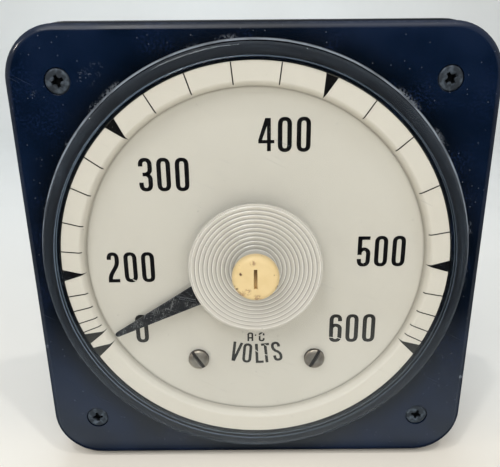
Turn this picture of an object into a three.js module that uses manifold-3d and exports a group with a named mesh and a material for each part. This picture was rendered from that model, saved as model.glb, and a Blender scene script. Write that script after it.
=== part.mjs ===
// A long-scale moving-iron voltmeter for a switchboard: a square black bezel of the four-and-a-half-inch
// class, a round clear window with a ridged centre boss, a stepped dial, the movement behind it and a
// round case that goes through the panel.
//
// Millimetres. The pieces are laid out as the reader sees the face: X to the right, Y up and Z out of
// the dial, with z = 0 on the front of the bezel plate. The last group stands the meter up, so that
// +Z is up, the face looks along -Y and the origin is the middle of the base flange's bottom edge.

import * as THREE from 'three';
import { mergeVertices } from 'three/addons/utils/BufferGeometryUtils.js';
import Module from 'manifold-3d';

const wasm = await Module();
wasm.setup();

// Clearances and cuts

const seat = 0.25; // between two pieces where one rests on the other
const fit = 0.3; // radial room round a pin, screw or spigot
const overrun = 1; // how far a cut runs past the face that it opens

// Bezel

const dialOpening = 46.9; // radius; the face is laid out outwards and inwards from it
const lipWidth = 0.9; // the glossy lip between the opening and the window's groove
const bezelMargin = 3.75; // from the groove to the nearest edge of the bezel
const bezelCorner = 12;
const bezelDepth = 8;
const bezelPlate = 3.2;
const bezelSkirt = 2.5;
const bezelFrontRound = 1.8;
const bezelRimWidth = 5.4; // the thick ring that carries the window, measured from the dial opening
const lipDrop = 0.1; // the lip inside the window groove lies this far behind the plate

// Window and its groove

const windowProud = 2.5;
const windowThickness = 2.3;
const windowWall = 2.5;
const windowEdgeRound = 0.9;
const windowHole = 14.6; // radius
const grooveDepth = 2.6;
const windowGasketThickness = 0.85;

// Centre boss with its concentric ridges

const bossRadius = 16;
const bossRimThickness = 0.4;
const bossWeb = 1.3; // between the foot of the ridges and the hollow behind
const ridgeHeight = 0.35;
const ridgePitch = 1.03;
const ridgeOutermost = 15.42; // radius of the outermost crest
const collarRadius = 4.9;
const collarHeight = 3.9;
const spigotWall = 1.4;
const spigotDepth = 2.4;

// Zero adjuster

const knobRadius = 5.6;
const knobHeight = 2.4;
const knobBevel = 0.6;
const knobSlotLength = 4.7;
const knobSlotWidth = 0.9;
const knobSlotDepth = 1.1;
const adjusterShaft = 1.9; // radius
const adjusterTip = 1.3; // radius of the stepped end that carries the drive disc
const driveDiscRadius = 5.4;
const driveDiscThickness = 0.8;
const drivePin = 0.7; // radius
const drivePinPlace = 4.3; // from the dial axis

// Dial

const scaleRingWidth = 4.3; // of its flat top, inwards from the dial opening
const scaleRingSlope = 1.4; // width of its sloping inner wall
const scaleRingTop = -0.35;
const dialFloor = -3.2;
const dialPlateThickness = 1;
const dialEdgeGap = 0.5; // between the dial plate and the bezel
const dialHole = 12.5; // radius
const dialScrewX = 15.1;
const dialScrewY = 26.35;
const dialScrewHead = 2.65; // radius
const dialScrewHeadHeight = 1.3;
const dialScrewSlot = 0.7;
const dialScrewSlotDepth = 0.6;
const leftSlotDegrees = -35; // anticlockwise from level
const rightSlotDegrees = 40;
const dialScrewShank = 1.2; // radius
const dialScrewLength = 7;
const dialPostRadius = 3;

// Pointer

const pointerTipGap = 1; // from the tip to the foot of the scale ring
const pointerTipWidth = 0.9;
const pointerShoulderReach = 15.6;
const pointerShoulderWidth = 5.5;
const pointerHeelReach = 9.4;
const pointerHeelWidth = 2.6;
const pointerThickness = 0.35;
const pointerFront = -0.75; // front face of the blade
const pointerRootFront = -4.4; // front face of the stem at the hub
const pointerCrankFoot = 8; // where the stem starts to rise to the blade
const pointerRingWidth = 1.3;
const pointerRestDegrees = 117.4; // anticlockwise from straight up
const lowestMarkDegrees = 119.2; // anticlockwise from straight up
const highestMarkDegrees = 119.1; // clockwise from straight up
const overTravelDegrees = 2.4;
const stopPinRadius = 0.7;
const stopPinPlace = 14; // from the axis
const stopPinTop = -0.35;

// Moving element

const spindleRadius = 0.6;
const pivotRadius = 0.22;
const pivotLength = 0.9;
const springCollet = 1.5; // radius
const springColletHeight = 1.9;
const hubRadius = 2.6;
const hubHeight = 2.6;
const balanceArmRadius = 0.5;
const balanceArmReach = 8.3;
const balanceArmDegrees = 140; // from the pointer to either side
const balanceNutRadius = 1.4;
const balanceNutLength = 2.2;
const balanceNutPlace = 6.6;
const vaneRadius = 6.6;
const vaneThickness = 0.6;
const vaneDegrees = 84;
const vaneLength = 16;
const vaneHubRadius = 1.7;
const vaneArm = 1; // thickness of the two arms that hold the vane
const dampingDiscRadius = 15;
const dampingDiscThickness = 0.8;
const dampingHubRadius = 2.2;
const dampingHubHeight = 2.4;

// Hairspring and the lever that holds its outer end

const springTurns = 3.5;
const springInner = 2.1;
const springOuter = 5.6;
const springStrip = 0.22;
const springHeight = 0.5;
const springStepsPerTurn = 12;
const leverThickness = 0.6;
const leverHubRadius = 3.4;
const leverForkReach = 6.3;
const leverForkWidth = 4.4;
const leverForkSlotInner = 3.0;
const leverStudReach = 6.9;
const leverStudArmWidth = 2;
const leverStudRadius = 0.6;

// Bearings and bridges

const jewelRadius = 1.6;
const jewelCup = 0.55; // radius
const jewelCupDepth = 0.9;
const jewelNeck = 1.5; // how far the front screw stands out of its bridge, to carry the lever
const frontBridgeWidth = 5;
const frontBridgeThickness = 1.2;
const frontBridgeHub = 3.6; // radius
const frontBridgeUpright = 2.2;
const frontBridgeFootPlace = 9.3; // from the axis to the upright
const frontBridgeFootLength = 12;
const frontBridgeFootWidth = 9;
const frontBridgeFootThickness = 1.4;
const frontBridgeRivetPlace = 17.4;
const frontBridgeRivet = 1.5; // radius
const rearBridgeThickness = 1.6;
const rearBridgeWidth = 11;
const rearBridgeArmReach = 23;
const rearJewelLength = 3.6;

// Movement plate, pillars and screws

const movementPlateRadius = 33;
const movementPlateThickness = 1.5;
const movementPlateHole = 8.4; // radius
const movementEarWidth = 12;
const movementEarGap = 2.4; // from an ear's end to the inside of the barrel
const movementScrewInset = 6.4; // from the inside of the barrel
const movementScrewShank = 1.4; // radius
const movementScrewHead = 3; // radius
const movementScrewHeadHeight = 1.7;
const movementScrewLength = 8;
const screwSlotWidth = 0.8;
const screwSlotDepth = 0.7;
const pillarPlace = 26;
const pillarRadius = 2.2;
const pillarStub = 1.4; // radius of its threaded ends
const pillarStubLength = 4;
const pillarNutFlats = 5.5; // across the flats
const pillarNutHeight = 1.8;

// Coil and fixed iron

const bobbinBore = 8.3; // radius
const bobbinSleeve = 0.9;
const bobbinFlangeRadius = 17;
const bobbinFlangeThickness = 1.5;
const bobbinLength = 24;
const windingRadius = 16.2;
const fixedIronThickness = 0.6;
const fixedIronDegrees = 150;
const fixedIronLength = 16;
const fixedIronTip = 5; // height of its narrow end
const fixedIronTurnDegrees = -60; // of its middle, anticlockwise from straight up

// Damping magnet

const magnetInner = 9; // from the axis
const magnetOuter = 22;
const magnetWidth = 12;
const magnetBack = 5; // depth of the bridge that joins its jaws
const magnetJaw = 2.2;
const magnetGap = 1.9; // the slot that the disc runs in

// Case

const flangeReveal = 1.1; // how far the flange shows past the bezel on every side
const flangeCorner = 12.9;
const flangeThickness = 3;
const coverGasketThickness = 0.8;
const coverGasketWidth = 3.4;
const coverGasketInset = 0.6;
const barrelMargin = 3.1; // how much wider the barrel is than the dial opening
const barrelWall = 2.8;
const caseBack = 3.5;
const lugDepth = 10;
const lugWidth = 9;
const lugLength = 10.4; // inwards from the barrel's wall

// Corner fasteners

const cornerInset = 11.7875; // puts the studs on the 85.725 mm square of the class
const coverScrewHead = 2.95; // radius
const coverScrewHeadHeight = 1.7;
const coverScrewDome = 0.5;
const coverScrewShank = 1.3; // radius
const coverScrewLength = 14;
const coverScrewSink = 2.3; // depth of the counterbore
const crossLength = 3.3;
const crossWidth = 0.85;
const crossDepth = 1.1;
const crossTurnDegrees = 20; // anticlockwise
const cornerBossRadius = 5.6;
const studRadius = 2.4;
const studLength = 26; // behind the flange
const studCollarRadius = 4.2;
const studCollarHeight = 1.6;
const studBoreDepth = 8;
const mountNutFlats = 9.5;
const mountNutHeight = 4.2;
const mountNutFlange = 6; // radius
const mountNutFlangeHeight = 1;

// Terminals

const terminalSpacing = 38.1;
const terminalDrop = 19.05; // below the dial axis
const terminalRadius = 3.175;
const terminalReach = 20; // behind the case
const terminalHeadRadius = 5.6;
const terminalHeadHeight = 2.2;
const terminalNutFlats = 11.1;
const terminalNutHeight = 5;
const terminalNutFlange = 6.8; // radius
const terminalNutFlangeHeight = 1.1;
const terminalNutSpacing = 2.4; // room for a wire lug between the two nuts
const tagThickness = 0.6;
const tagRadius = 5;
const tagTabLength = 11;
const tagTabWidth = 3.6;

// Series resistor and leads

const resistorRadius = 5;
const resistorLength = 42;
const resistorInset = 18.2; // from the inside of the barrel down to its axis
const resistorStub = 2.1; // radius
const resistorStubLength = 4.6;
const resistorClear = 2; // between the resistor and the case floor
const resistorRoom = 1.9; // between the resistor and the ends of the pillars
const bracketThickness = 1.2;
const bracketWidth = 11;
const bracketMargin = 3; // of metal above the resistor's stub
const leadRadius = 0.9;
const leadTagGap = 0.35; // a lead stops this far from the tag that it is soldered to
const leadBend = 3.6; // length that each bend of a lead takes
const coilTagDegrees = 35; // above and below the level of the axis, where the coil's ends come out

// Facets on full circles

const fineFacets = 44; // window, dial and case
const plainFacets = 24; // boss, coil and movement
const smallFacets = 16; // heads, nuts and hubs
const tinyFacets = 10; // shanks and bores
const cornerSteps = 3; // pairs of facets on a rounded corner
const sheetSteps = 10; // facets along a sheet bent to an arc
const wireFacets = 8;
const wireStepsPerPoint = 2;

// Widths that follow from the sizes above

const windowRadius = dialOpening + lipWidth + fit + windowWall;
const bezelSide = 2 * (windowRadius + fit + bezelMargin);
const scaleRingEdge = dialOpening - scaleRingWidth; // radius where the slope meets the flat
const scaleRingFoot = scaleRingEdge - scaleRingSlope;
const pointerTipReach = scaleRingFoot - pointerTipGap;
const flangeSide = bezelSide + 2 * flangeReveal;
const cornerSquare = bezelSide - 2 * cornerInset;
const cornerPlace = cornerSquare / 2;
const barrelRadius = dialOpening + barrelMargin;
const barrelInner = barrelRadius - barrelWall;
const movementScrewPlace = barrelInner - movementScrewInset;
const movementEarReach = barrelInner - movementEarGap;
const lugInner = barrelInner - lugLength;
const resistorHeight = barrelInner - resistorInset; // above the dial axis

// Heights that follow from the sizes above

const windowFront = windowProud;
const windowInside = windowFront - windowThickness;
const grooveFloor = -grooveDepth;
const windowFoot = grooveFloor + seat + windowGasketThickness + seat;
const bossSeat = windowFront + seat;
const ridgeFoot = bossSeat + bossRimThickness / 2;
const bossHollow = ridgeFoot - bossWeb;
const collarTop = ridgeFoot + collarHeight;
const knobBack = collarTop + seat;
const knobFront = knobBack + knobHeight;
const driveDiscFront = bossHollow - seat;
const driveDiscBack = driveDiscFront - driveDiscThickness;
const dialBack = dialFloor - dialPlateThickness;
const flangeFront = -(bezelDepth + coverGasketThickness + 2 * seat);
const flangeBack = flangeFront - flangeThickness;
const movementFront = flangeBack;
const movementBack = movementFront - movementPlateThickness;
const bobbinFront = movementBack - seat;
const bobbinBack = bobbinFront - bobbinLength;
const frontBridgeFace = pointerFront - leverThickness;
const frontBridgeBack = frontBridgeFace - frontBridgeThickness;
const jewelBack = frontBridgeBack - seat;
const jewelFront = frontBridgeFace + jewelNeck;
const leverBack = frontBridgeFace + seat;
const leverFront = leverBack + leverThickness;
const drivePinEnd = leverBack + seat / 2;
const springFront = jewelBack - 2 * seat;
const springBack = springFront - springHeight;
const spindleFront = jewelBack - seat;
const hubFront = pointerRootFront - pointerThickness - seat;
const hubBack = hubFront - hubHeight;
const balanceLevel = hubFront - hubHeight / 2;
const vaneMiddle = (bobbinFront + bobbinBack) / 2;
const dampingDiscFront = bobbinBack - seat - magnetJaw - (magnetGap - dampingDiscThickness) / 2;
const dampingDiscBack = dampingDiscFront - dampingDiscThickness;
const magnetFront = bobbinBack - seat;
const magnetBackFace = magnetFront - 2 * magnetJaw - magnetGap;
const rearBridgeFront = magnetBackFace - seat;
const rearBridgeBack = rearBridgeFront - rearBridgeThickness;
const rearJewelFront = rearBridgeFront + seat;
const spindleBack = rearJewelFront + seat;
const pillarEnd = rearBridgeFront + seat - pillarStubLength;
const resistorLevel = pillarEnd - resistorRoom - resistorRadius;
const caseFloor = resistorLevel - resistorRadius - resistorClear;
const barrelLength = flangeBack - caseFloor + caseBack;
const caseBackFace = flangeBack - barrelLength;

// Materials

const paint = (color, roughness, metalness = 0) =>
  new THREE.MeshStandardMaterial({ color, roughness, metalness });
const blackPlastic = () => paint(0x10151f, 0.3);
const clearPlastic = () =>
  new THREE.MeshStandardMaterial({ color: 0xe8ecec, roughness: 0.1, transparent: true, opacity: 0.35 });
const frostedPlastic = () => paint(0xc4c4bd, 0.35);
const creamPlastic = () => paint(0xe0c68c, 0.45);
const dialPaint = () => paint(0xcfc8bb, 0.6);
const pointerPaint = () => paint(0x202225, 0.55);
const rubber = () => paint(0x1b1b1b, 0.9);
const brass = () => paint(0xb8974e, 0.35, 1);
const nickel = () => paint(0xb0aba2, 0.35, 1);
const steel = () => paint(0x8b8d90, 0.4, 1);
const darkSteel = () => paint(0x3a3d42, 0.5, 1);
const aluminium = () => paint(0xb9bcbf, 0.4, 1);
const phosphorBronze = () => paint(0xb07a45, 0.35, 1);
const enamelledCopper = () => paint(0x8c3f1c, 0.4, 0.6);
const amberPlastic = () => paint(0xa8824a, 0.5);
const ceramic = () => paint(0x5d6b52, 0.6);
const redInsulation = () => paint(0x9c2a22, 0.6);
const whiteInsulation = () => paint(0xd9d5c8, 0.6);

// Geometry tools

const radians = (degrees) => (degrees * Math.PI) / 180;

// A closed mesh as a solid: position only, shared corners merged, flat slivers dropped, facing out.
function solidOf(geometry) {
  geometry.deleteAttribute('normal');
  geometry.deleteAttribute('uv');
  const merged = mergeVertices(geometry);
  const corners = merged.index.array;
  const points = merged.attributes.position;
  const kept = [];
  let volume = 0;
  for (let i = 0; i < corners.length; i += 3) {
    const [a, b, c] = [corners[i], corners[i + 1], corners[i + 2]];
    if (a === b || b === c || c === a) continue;
    kept.push(a, b, c);
    const [p, q, r] = [a, b, c].map((k) => new THREE.Vector3().fromBufferAttribute(points, k));
    volume += p.dot(q.cross(r));
  }
  if (volume < 0) kept.reverse();
  return new wasm.Manifold(
    new wasm.Mesh({
      numProp: 3,
      vertProperties: new Float32Array(points.array),
      triVerts: new Uint32Array(kept),
    }),
  );
}

// A body of revolution about Z from [radius, z] points; one that stays off the axis closes on itself.
function turned(profile, facets) {
  const points = profile.map(([radius, z]) => new THREE.Vector2(radius, z));
  if (points[0].x > 0) points.push(points[0].clone());
  return solidOf(new THREE.LatheGeometry(points, facets).rotateX(Math.PI / 2));
}

function cylinder(radius, low, high, facets = plainFacets, x = 0, y = 0) {
  const geometry = new THREE.CylinderGeometry(radius, radius, high - low, facets);
  return solidOf(geometry.rotateX(Math.PI / 2).translate(x, y, (low + high) / 2));
}

function tube(inner, outer, low, high, facets = plainFacets, x = 0, y = 0) {
  const bore = cylinder(inner, low - overrun, high + overrun, facets, x, y);
  return cylinder(outer, low, high, facets, x, y).subtract(bore);
}

function hexagon(acrossFlats, low, high, x = 0, y = 0) {
  return cylinder(acrossFlats / Math.sqrt(3), low, high, 6, x, y);
}

function block(x0, x1, y0, y1, low, high) {
  const geometry = new THREE.BoxGeometry(x1 - x0, y1 - y0, high - low);
  return solidOf(geometry.translate((x0 + x1) / 2, (y0 + y1) / 2, (low + high) / 2));
}

function prism(shape, low, high, curveSegments = cornerSteps) {
  const options = { depth: high - low, bevelEnabled: false, curveSegments };
  return solidOf(new THREE.ExtrudeGeometry(shape, options).translate(0, 0, low));
}

// A flat outline in the Y-Z plane, pulled evenly along X to a given width.
function sideProfile(points, width) {
  const shape = new THREE.Shape(points.map(([y, z]) => new THREE.Vector2(y, z)));
  const geometry = new THREE.ExtrudeGeometry(shape, { depth: width, bevelEnabled: false });
  geometry.translate(0, 0, -width / 2);
  return solidOf(geometry.rotateY(Math.PI / 2).rotateX(Math.PI / 2));
}

function roundedSquare(side, corner) {
  const half = side / 2;
  const inner = half - corner;
  const shape = new THREE.Shape();
  shape.absarc(inner, inner, corner, 0, Math.PI / 2);
  shape.absarc(-inner, inner, corner, Math.PI / 2, Math.PI);
  shape.absarc(-inner, -inner, corner, Math.PI, 1.5 * Math.PI);
  shape.absarc(inner, -inner, corner, 1.5 * Math.PI, 2 * Math.PI);
  return shape;
}

// A slice of a round wall between two radii, centred on the +Y direction.
function arcWall(inner, outer, degrees) {
  const middle = Math.PI / 2;
  const half = radians(degrees) / 2;
  const shape = new THREE.Shape();
  shape.absarc(0, 0, outer, middle - half, middle + half);
  shape.absarc(0, 0, inner, middle + half, middle - half, true);
  return shape;
}

const joined = (solids) => solids.reduce((sum, solid) => sum.add(solid));

const turn = (solid, degrees) => solid.rotate([0, 0, degrees]);

function meshOf(name, solid, material) {
  const { vertProperties, triVerts } = solid.getMesh();
  const geometry = new THREE.BufferGeometry();
  geometry.setAttribute('position', new THREE.BufferAttribute(vertProperties, 3));
  geometry.setIndex(new THREE.BufferAttribute(triVerts, 1));
  geometry.computeVertexNormals();
  const mesh = new THREE.Mesh(geometry, material);
  mesh.name = name;
  return mesh;
}

// A round insulated wire along a smooth curve through the given points.
function lead(name, points, material) {
  const route = new THREE.CatmullRomCurve3(points.map((point) => new THREE.Vector3(...point)));
  const section = new THREE.Shape().absarc(0, 0, leadRadius, 0, 2 * Math.PI);
  const options = {
    steps: wireStepsPerPoint * points.length,
    extrudePath: route,
    curveSegments: wireFacets / 2,
  };
  return meshOf(name, solidOf(new THREE.ExtrudeGeometry(section, options)), material);
}

const corners = [
  [-cornerPlace, cornerPlace],
  [cornerPlace, cornerPlace],
  [-cornerPlace, -cornerPlace],
  [cornerPlace, -cornerPlace],
];
const terminalPlaces = [
  [-terminalSpacing / 2, -terminalDrop],
  [terminalSpacing / 2, -terminalDrop],
];
const atEach = (places, build) => joined(places.map(([x, y]) => build(x, y)));
const meshAtEach = (name, places, build, material) =>
  places.map(([x, y], i) => meshOf(`${name}_${i + 1}`, build(x, y), material));

// Cover: bezel, window, boss and seals

function frontBezel() {
  const back = -bezelDepth;
  const front = new THREE.ExtrudeGeometry(roundedSquare(bezelSide, bezelCorner), {
    depth: bezelDepth - 2 * bezelFrontRound,
    bevelThickness: bezelFrontRound,
    bevelSize: bezelFrontRound,
    bevelOffset: -bezelFrontRound,
    bevelSegments: 2,
    curveSegments: cornerSteps,
  });
  let bezel = solidOf(front.translate(0, 0, back + bezelFrontRound));
  bezel = bezel.add(prism(roundedSquare(bezelSide, bezelCorner), back, -bezelFrontRound));
  const inside = roundedSquare(bezelSide - 2 * bezelSkirt, bezelCorner - bezelSkirt);
  let pocket = prism(inside, back - overrun, -bezelPlate);
  pocket = pocket.subtract(
    cylinder(dialOpening + bezelRimWidth, back - 2 * overrun, overrun, fineFacets),
  );
  pocket = pocket.subtract(
    atEach(corners, (x, y) => cylinder(cornerBossRadius, back - 2 * overrun, overrun, smallFacets, x, y)),
  );
  bezel = bezel.subtract(pocket);
  bezel = bezel.subtract(cylinder(dialOpening, back - overrun, overrun, fineFacets));
  const grooveInner = windowRadius - windowWall - fit;
  bezel = bezel.subtract(tube(grooveInner, windowRadius + fit, grooveFloor, overrun, fineFacets));
  bezel = bezel.subtract(cylinder(grooveInner + fit, -lipDrop, overrun, fineFacets));
  const bore = coverScrewShank + fit;
  bezel = bezel.subtract(
    atEach(corners, (x, y) => cylinder(bore, back - overrun, overrun, tinyFacets, x, y)),
  );
  return bezel.subtract(
    atEach(corners, (x, y) => cylinder(coverScrewHead + fit, -coverScrewSink, overrun, smallFacets, x, y)),
  );
}

function clearWindow() {
  const rim = windowRadius;
  const inner = windowRadius - windowWall;
  const round = windowEdgeRound;
  const cut = round * (1 - Math.SQRT1_2);
  return turned(
    [
      [windowHole, windowInside],
      [inner, windowInside],
      [inner, windowFoot],
      [rim, windowFoot],
      [rim, windowFront - round],
      [rim - cut, windowFront - cut],
      [rim - round, windowFront],
      [windowHole, windowFront],
    ],
    fineFacets,
  );
}

function windowGasket() {
  const inner = windowRadius - windowWall;
  const low = grooveFloor + seat;
  return tube(inner, windowRadius, low, low + windowGasketThickness, fineFacets);
}

function centreBoss() {
  const ridges = [];
  const ridgeCount = Math.floor((ridgeOutermost - collarRadius) / ridgePitch);
  for (let i = 0; i < ridgeCount; i += 1) {
    const crest = ridgeOutermost - i * ridgePitch;
    ridges.push([crest, ridgeFoot + ridgeHeight], [crest - ridgePitch / 2, ridgeFoot]);
  }
  const spigot = windowHole - fit;
  return turned(
    [
      [adjusterShaft + fit, bossHollow],
      [spigot - spigotWall, bossHollow],
      [spigot - spigotWall, windowFront - spigotDepth],
      [spigot, windowFront - spigotDepth],
      [spigot, bossSeat],
      [bossRadius, bossSeat],
      [bossRadius, bossSeat + bossRimThickness],
      ...ridges,
      [collarRadius, ridgeFoot],
      [collarRadius, collarTop],
      [adjusterShaft + fit, collarTop],
    ],
    plainFacets,
  );
}

function coverGasket() {
  const side = bezelSide - 2 * coverGasketInset;
  const corner = bezelCorner - coverGasketInset;
  const back = flangeFront + seat;
  const outside = prism(roundedSquare(side, corner), back, back + coverGasketThickness);
  const hole = cylinder(side / 2 - coverGasketWidth, back - overrun, overrun, fineFacets);
  const bores = atEach(corners, (x, y) => {
    return cylinder(coverScrewShank + fit, back - overrun, overrun, tinyFacets, x, y);
  });
  return outside.subtract(hole).subtract(bores);
}

function crossHeadScrew(x, y) {
  const headBack = seat - coverScrewSink;
  const headFront = headBack + coverScrewHeadHeight;
  const screw = turned(
    [
      [0, headFront - coverScrewLength],
      [coverScrewShank, headFront - coverScrewLength],
      [coverScrewShank, headBack],
      [coverScrewHead, headBack],
      [coverScrewHead, headFront - coverScrewDome],
      [coverScrewHead - coverScrewDome, headFront],
      [0, headFront],
    ],
    smallFacets,
  );
  const [a, b] = [crossLength / 2, crossWidth / 2];
  const recess = block(-a, a, -b, b, headFront - crossDepth, headFront + overrun).add(
    block(-b, b, -a, a, headFront - crossDepth, headFront + overrun),
  );
  return screw.subtract(turn(recess, crossTurnDegrees)).translate([x, y, 0]);
}

// Dial

function scaleRing() {
  const outer = dialOpening - fit;
  const back = dialFloor + seat;
  return turned(
    [
      [scaleRingFoot, back],
      [outer, back],
      [outer, scaleRingTop],
      [scaleRingEdge, scaleRingTop],
    ],
    fineFacets,
  );
}

const dialScrewPlaces = [
  [-dialScrewX, -dialScrewY],
  [dialScrewX, -dialScrewY],
];
const dialPostPlaces = [...dialScrewPlaces, [-dialScrewX, dialScrewY], [dialScrewX, dialScrewY]];

// The posts that carry the dial stand on the movement plate; the lower two take the dial screws.
function dialPosts() {
  const [low, high] = [movementBack, dialBack - seat];
  const posts = atEach(dialPostPlaces, (x, y) => cylinder(dialPostRadius, low, high, tinyFacets, x, y));
  const bores = atEach(dialScrewPlaces, (x, y) => {
    return cylinder(dialScrewShank + fit, movementFront, high + overrun, tinyFacets, x, y);
  });
  return posts.subtract(bores);
}

function dialPlate() {
  const disc = tube(dialHole, dialOpening - dialEdgeGap, dialBack, dialFloor, fineFacets);
  const bores = atEach(dialScrewPlaces, (x, y) => {
    return cylinder(dialScrewShank + fit, dialBack - overrun, dialFloor + overrun, tinyFacets, x, y);
  });
  return disc.subtract(bores).add(stopPins());
}

function dialScrew(x, y) {
  const headBack = dialFloor + seat;
  const headFront = headBack + dialScrewHeadHeight;
  const shank = cylinder(dialScrewShank, headFront - dialScrewLength, headBack + seat, tinyFacets);
  const head = cylinder(dialScrewHead, headBack, headFront, smallFacets);
  const slot = block(
    -dialScrewHead - overrun,
    dialScrewHead + overrun,
    -dialScrewSlot / 2,
    dialScrewSlot / 2,
    headFront - dialScrewSlotDepth,
    headFront + overrun,
  );
  const lean = x < 0 ? leftSlotDegrees : rightSlotDegrees;
  return shank.add(head.subtract(turn(slot, lean))).translate([x, y, 0]);
}

// The two pins staked in the plate under the boss, which stop the pointer blade past the scale's ends.
function stopPins() {
  const share = (stopPinPlace - pointerHeelReach) / (pointerShoulderReach - pointerHeelReach);
  const bladeHalf = (pointerHeelWidth + share * (pointerShoulderWidth - pointerHeelWidth)) / 2;
  const away = Math.asin((bladeHalf + stopPinRadius + seat) / stopPinPlace);
  const low = radians(lowestMarkDegrees + overTravelDegrees) + away;
  const high = -radians(highestMarkDegrees + overTravelDegrees) - away;
  return joined(
    [low, high].map((angle) => {
      const x = -stopPinPlace * Math.sin(angle);
      const y = stopPinPlace * Math.cos(angle);
      return cylinder(stopPinRadius, dialBack, stopPinTop, tinyFacets, x, y);
    }),
  );
}

// Pointer and the rest of the moving element, drawn with the pointer straight up

function pointerBlade() {
  const tip = pointerTipWidth / 2;
  const shoulder = pointerShoulderWidth / 2;
  const heel = pointerHeelWidth / 2;
  const blade = new THREE.Shape();
  blade.moveTo(-heel, pointerHeelReach);
  blade.lineTo(heel, pointerHeelReach);
  blade.lineTo(shoulder, pointerShoulderReach);
  blade.lineTo(tip, pointerTipReach - tip);
  blade.absarc(0, pointerTipReach - tip, tip, 0, Math.PI);
  blade.lineTo(-shoulder, pointerShoulderReach);
  const [face, root] = [pointerFront, pointerRootFront];
  const [back, rootBack] = [face - pointerThickness, root - pointerThickness];
  const ringInner = springCollet + fit;
  const stem = sideProfile(
    [
      [ringInner + pointerRingWidth / 2, rootBack],
      [pointerCrankFoot + pointerThickness, rootBack],
      [pointerHeelReach + pointerThickness, back],
      [pointerHeelReach + 2 * pointerThickness, face],
      [pointerHeelReach, face],
      [pointerCrankFoot, root],
      [ringInner + pointerRingWidth / 2, root],
    ],
    pointerHeelWidth,
  );
  const ring = tube(ringInner, ringInner + pointerRingWidth, rootBack, root, tinyFacets);
  return prism(blade, back, face).add(stem).add(ring);
}

function pointerHub() {
  const bore = spindleRadius + fit;
  const colletBack = hubFront - seat;
  const collet = cylinder(springCollet, colletBack, pointerRootFront + springColletHeight / 2, tinyFacets);
  let hub = collet.add(cylinder(hubRadius, hubBack, hubFront, smallFacets));
  for (const side of [-1, 1]) {
    const rod = new THREE.CylinderGeometry(balanceArmRadius, balanceArmRadius, balanceArmReach, tinyFacets);
    const arm = solidOf(rod.translate(0, balanceArmReach / 2, balanceLevel));
    hub = hub.add(turn(arm, side * balanceArmDegrees));
  }
  return hub.subtract(cylinder(bore, hubBack - overrun, 0, tinyFacets));
}

function balanceNut(side) {
  const nut = new THREE.CylinderGeometry(balanceNutRadius, balanceNutRadius, balanceNutLength, smallFacets);
  const bore = balanceArmRadius + fit;
  const hole = new THREE.CylinderGeometry(bore, bore, balanceNutLength + overrun, tinyFacets);
  const ring = solidOf(nut).subtract(solidOf(hole)).translate([0, balanceNutPlace, balanceLevel]);
  return turn(ring, side * balanceArmDegrees);
}

function spindle() {
  return turned(
    [
      [0, spindleBack - pivotLength],
      [pivotRadius, spindleBack - pivotLength],
      [pivotRadius, spindleBack],
      [spindleRadius, spindleBack],
      [spindleRadius, spindleFront],
      [pivotRadius, spindleFront],
      [pivotRadius, spindleFront + pivotLength],
      [0, spindleFront + pivotLength],
    ],
    tinyFacets,
  );
}

function movingIron() {
  const [low, high] = [vaneMiddle - vaneLength / 2, vaneMiddle + vaneLength / 2];
  const inner = vaneRadius - vaneThickness;
  const vane = prism(arcWall(inner, vaneRadius, vaneDegrees), low, high, sheetSteps / 2);
  const arm = (z) => block(-vaneArm / 2, vaneArm / 2, 0, inner + vaneThickness / 2, z, z + vaneArm);
  const hub = cylinder(vaneHubRadius, low, high, tinyFacets);
  const solid = vane.add(arm(low)).add(arm(high - vaneArm)).add(hub);
  return solid.subtract(cylinder(spindleRadius + fit, low - overrun, high + overrun, tinyFacets));
}

function dampingDisc() {
  const low = dampingDiscBack;
  const hubTop = dampingDiscFront + dampingHubHeight / 2;
  const disc = cylinder(dampingDiscRadius, low, dampingDiscFront, plainFacets);
  const hub = cylinder(dampingHubRadius, low, hubTop, tinyFacets);
  return disc.add(hub).subtract(cylinder(spindleRadius + fit, low - overrun, hubTop + overrun, tinyFacets));
}

// Hairspring: a flat strip wound from the collet on the spindle out to the stud of the zero lever.
function hairspring() {
  const steps = springStepsPerTurn * springTurns;
  const points = [];
  for (let i = 0; i <= steps; i += 1) {
    const angle = (i / steps) * springTurns * 2 * Math.PI;
    const radius = springInner + (i / steps) * (springOuter - springInner);
    points.push([radius * Math.cos(angle), radius * Math.sin(angle)]);
  }
  const outline = new THREE.Shape();
  const offset = (sign) => ([x, y]) => {
    const radius = Math.hypot(x, y);
    const share = (radius + (sign * springStrip) / 2) / radius;
    return new THREE.Vector2(x * share, y * share);
  };
  outline.setFromPoints([...points.map(offset(1)), ...points.map(offset(-1)).reverse()]);
  const leastGap = (springOuter - springInner) / springTurns - springStrip;
  console.log(`hairspring: least gap between turns ${leastGap.toFixed(2)} mm`);
  return turn(prism(outline, springBack, springFront), -springTurns * 360);
}

function zeroLever() {
  const half = leverForkWidth / 2;
  const hub = cylinder(leverHubRadius, leverBack, leverFront, smallFacets);
  const fork = block(-half, half, 0, leverForkReach, leverBack, leverFront);
  const arm = leverStudArmWidth / 2;
  const studArm = block(0, leverStudReach, -arm, arm, leverBack, leverFront);
  const studPlace = springOuter + springStrip / 2 + fit + leverStudRadius;
  const stud = cylinder(leverStudRadius, springBack - seat, leverFront, tinyFacets, studPlace, 0);
  const slotHalf = drivePin + fit;
  const slot = block(
    -slotHalf,
    slotHalf,
    leverForkSlotInner,
    leverForkReach + overrun,
    leverBack - overrun,
    leverFront + overrun,
  );
  const bore = cylinder(jewelRadius + fit, leverBack - overrun, leverFront + overrun, tinyFacets);
  return joined([hub, fork, studArm, stud]).subtract(slot).subtract(bore);
}

// Zero adjuster

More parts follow.
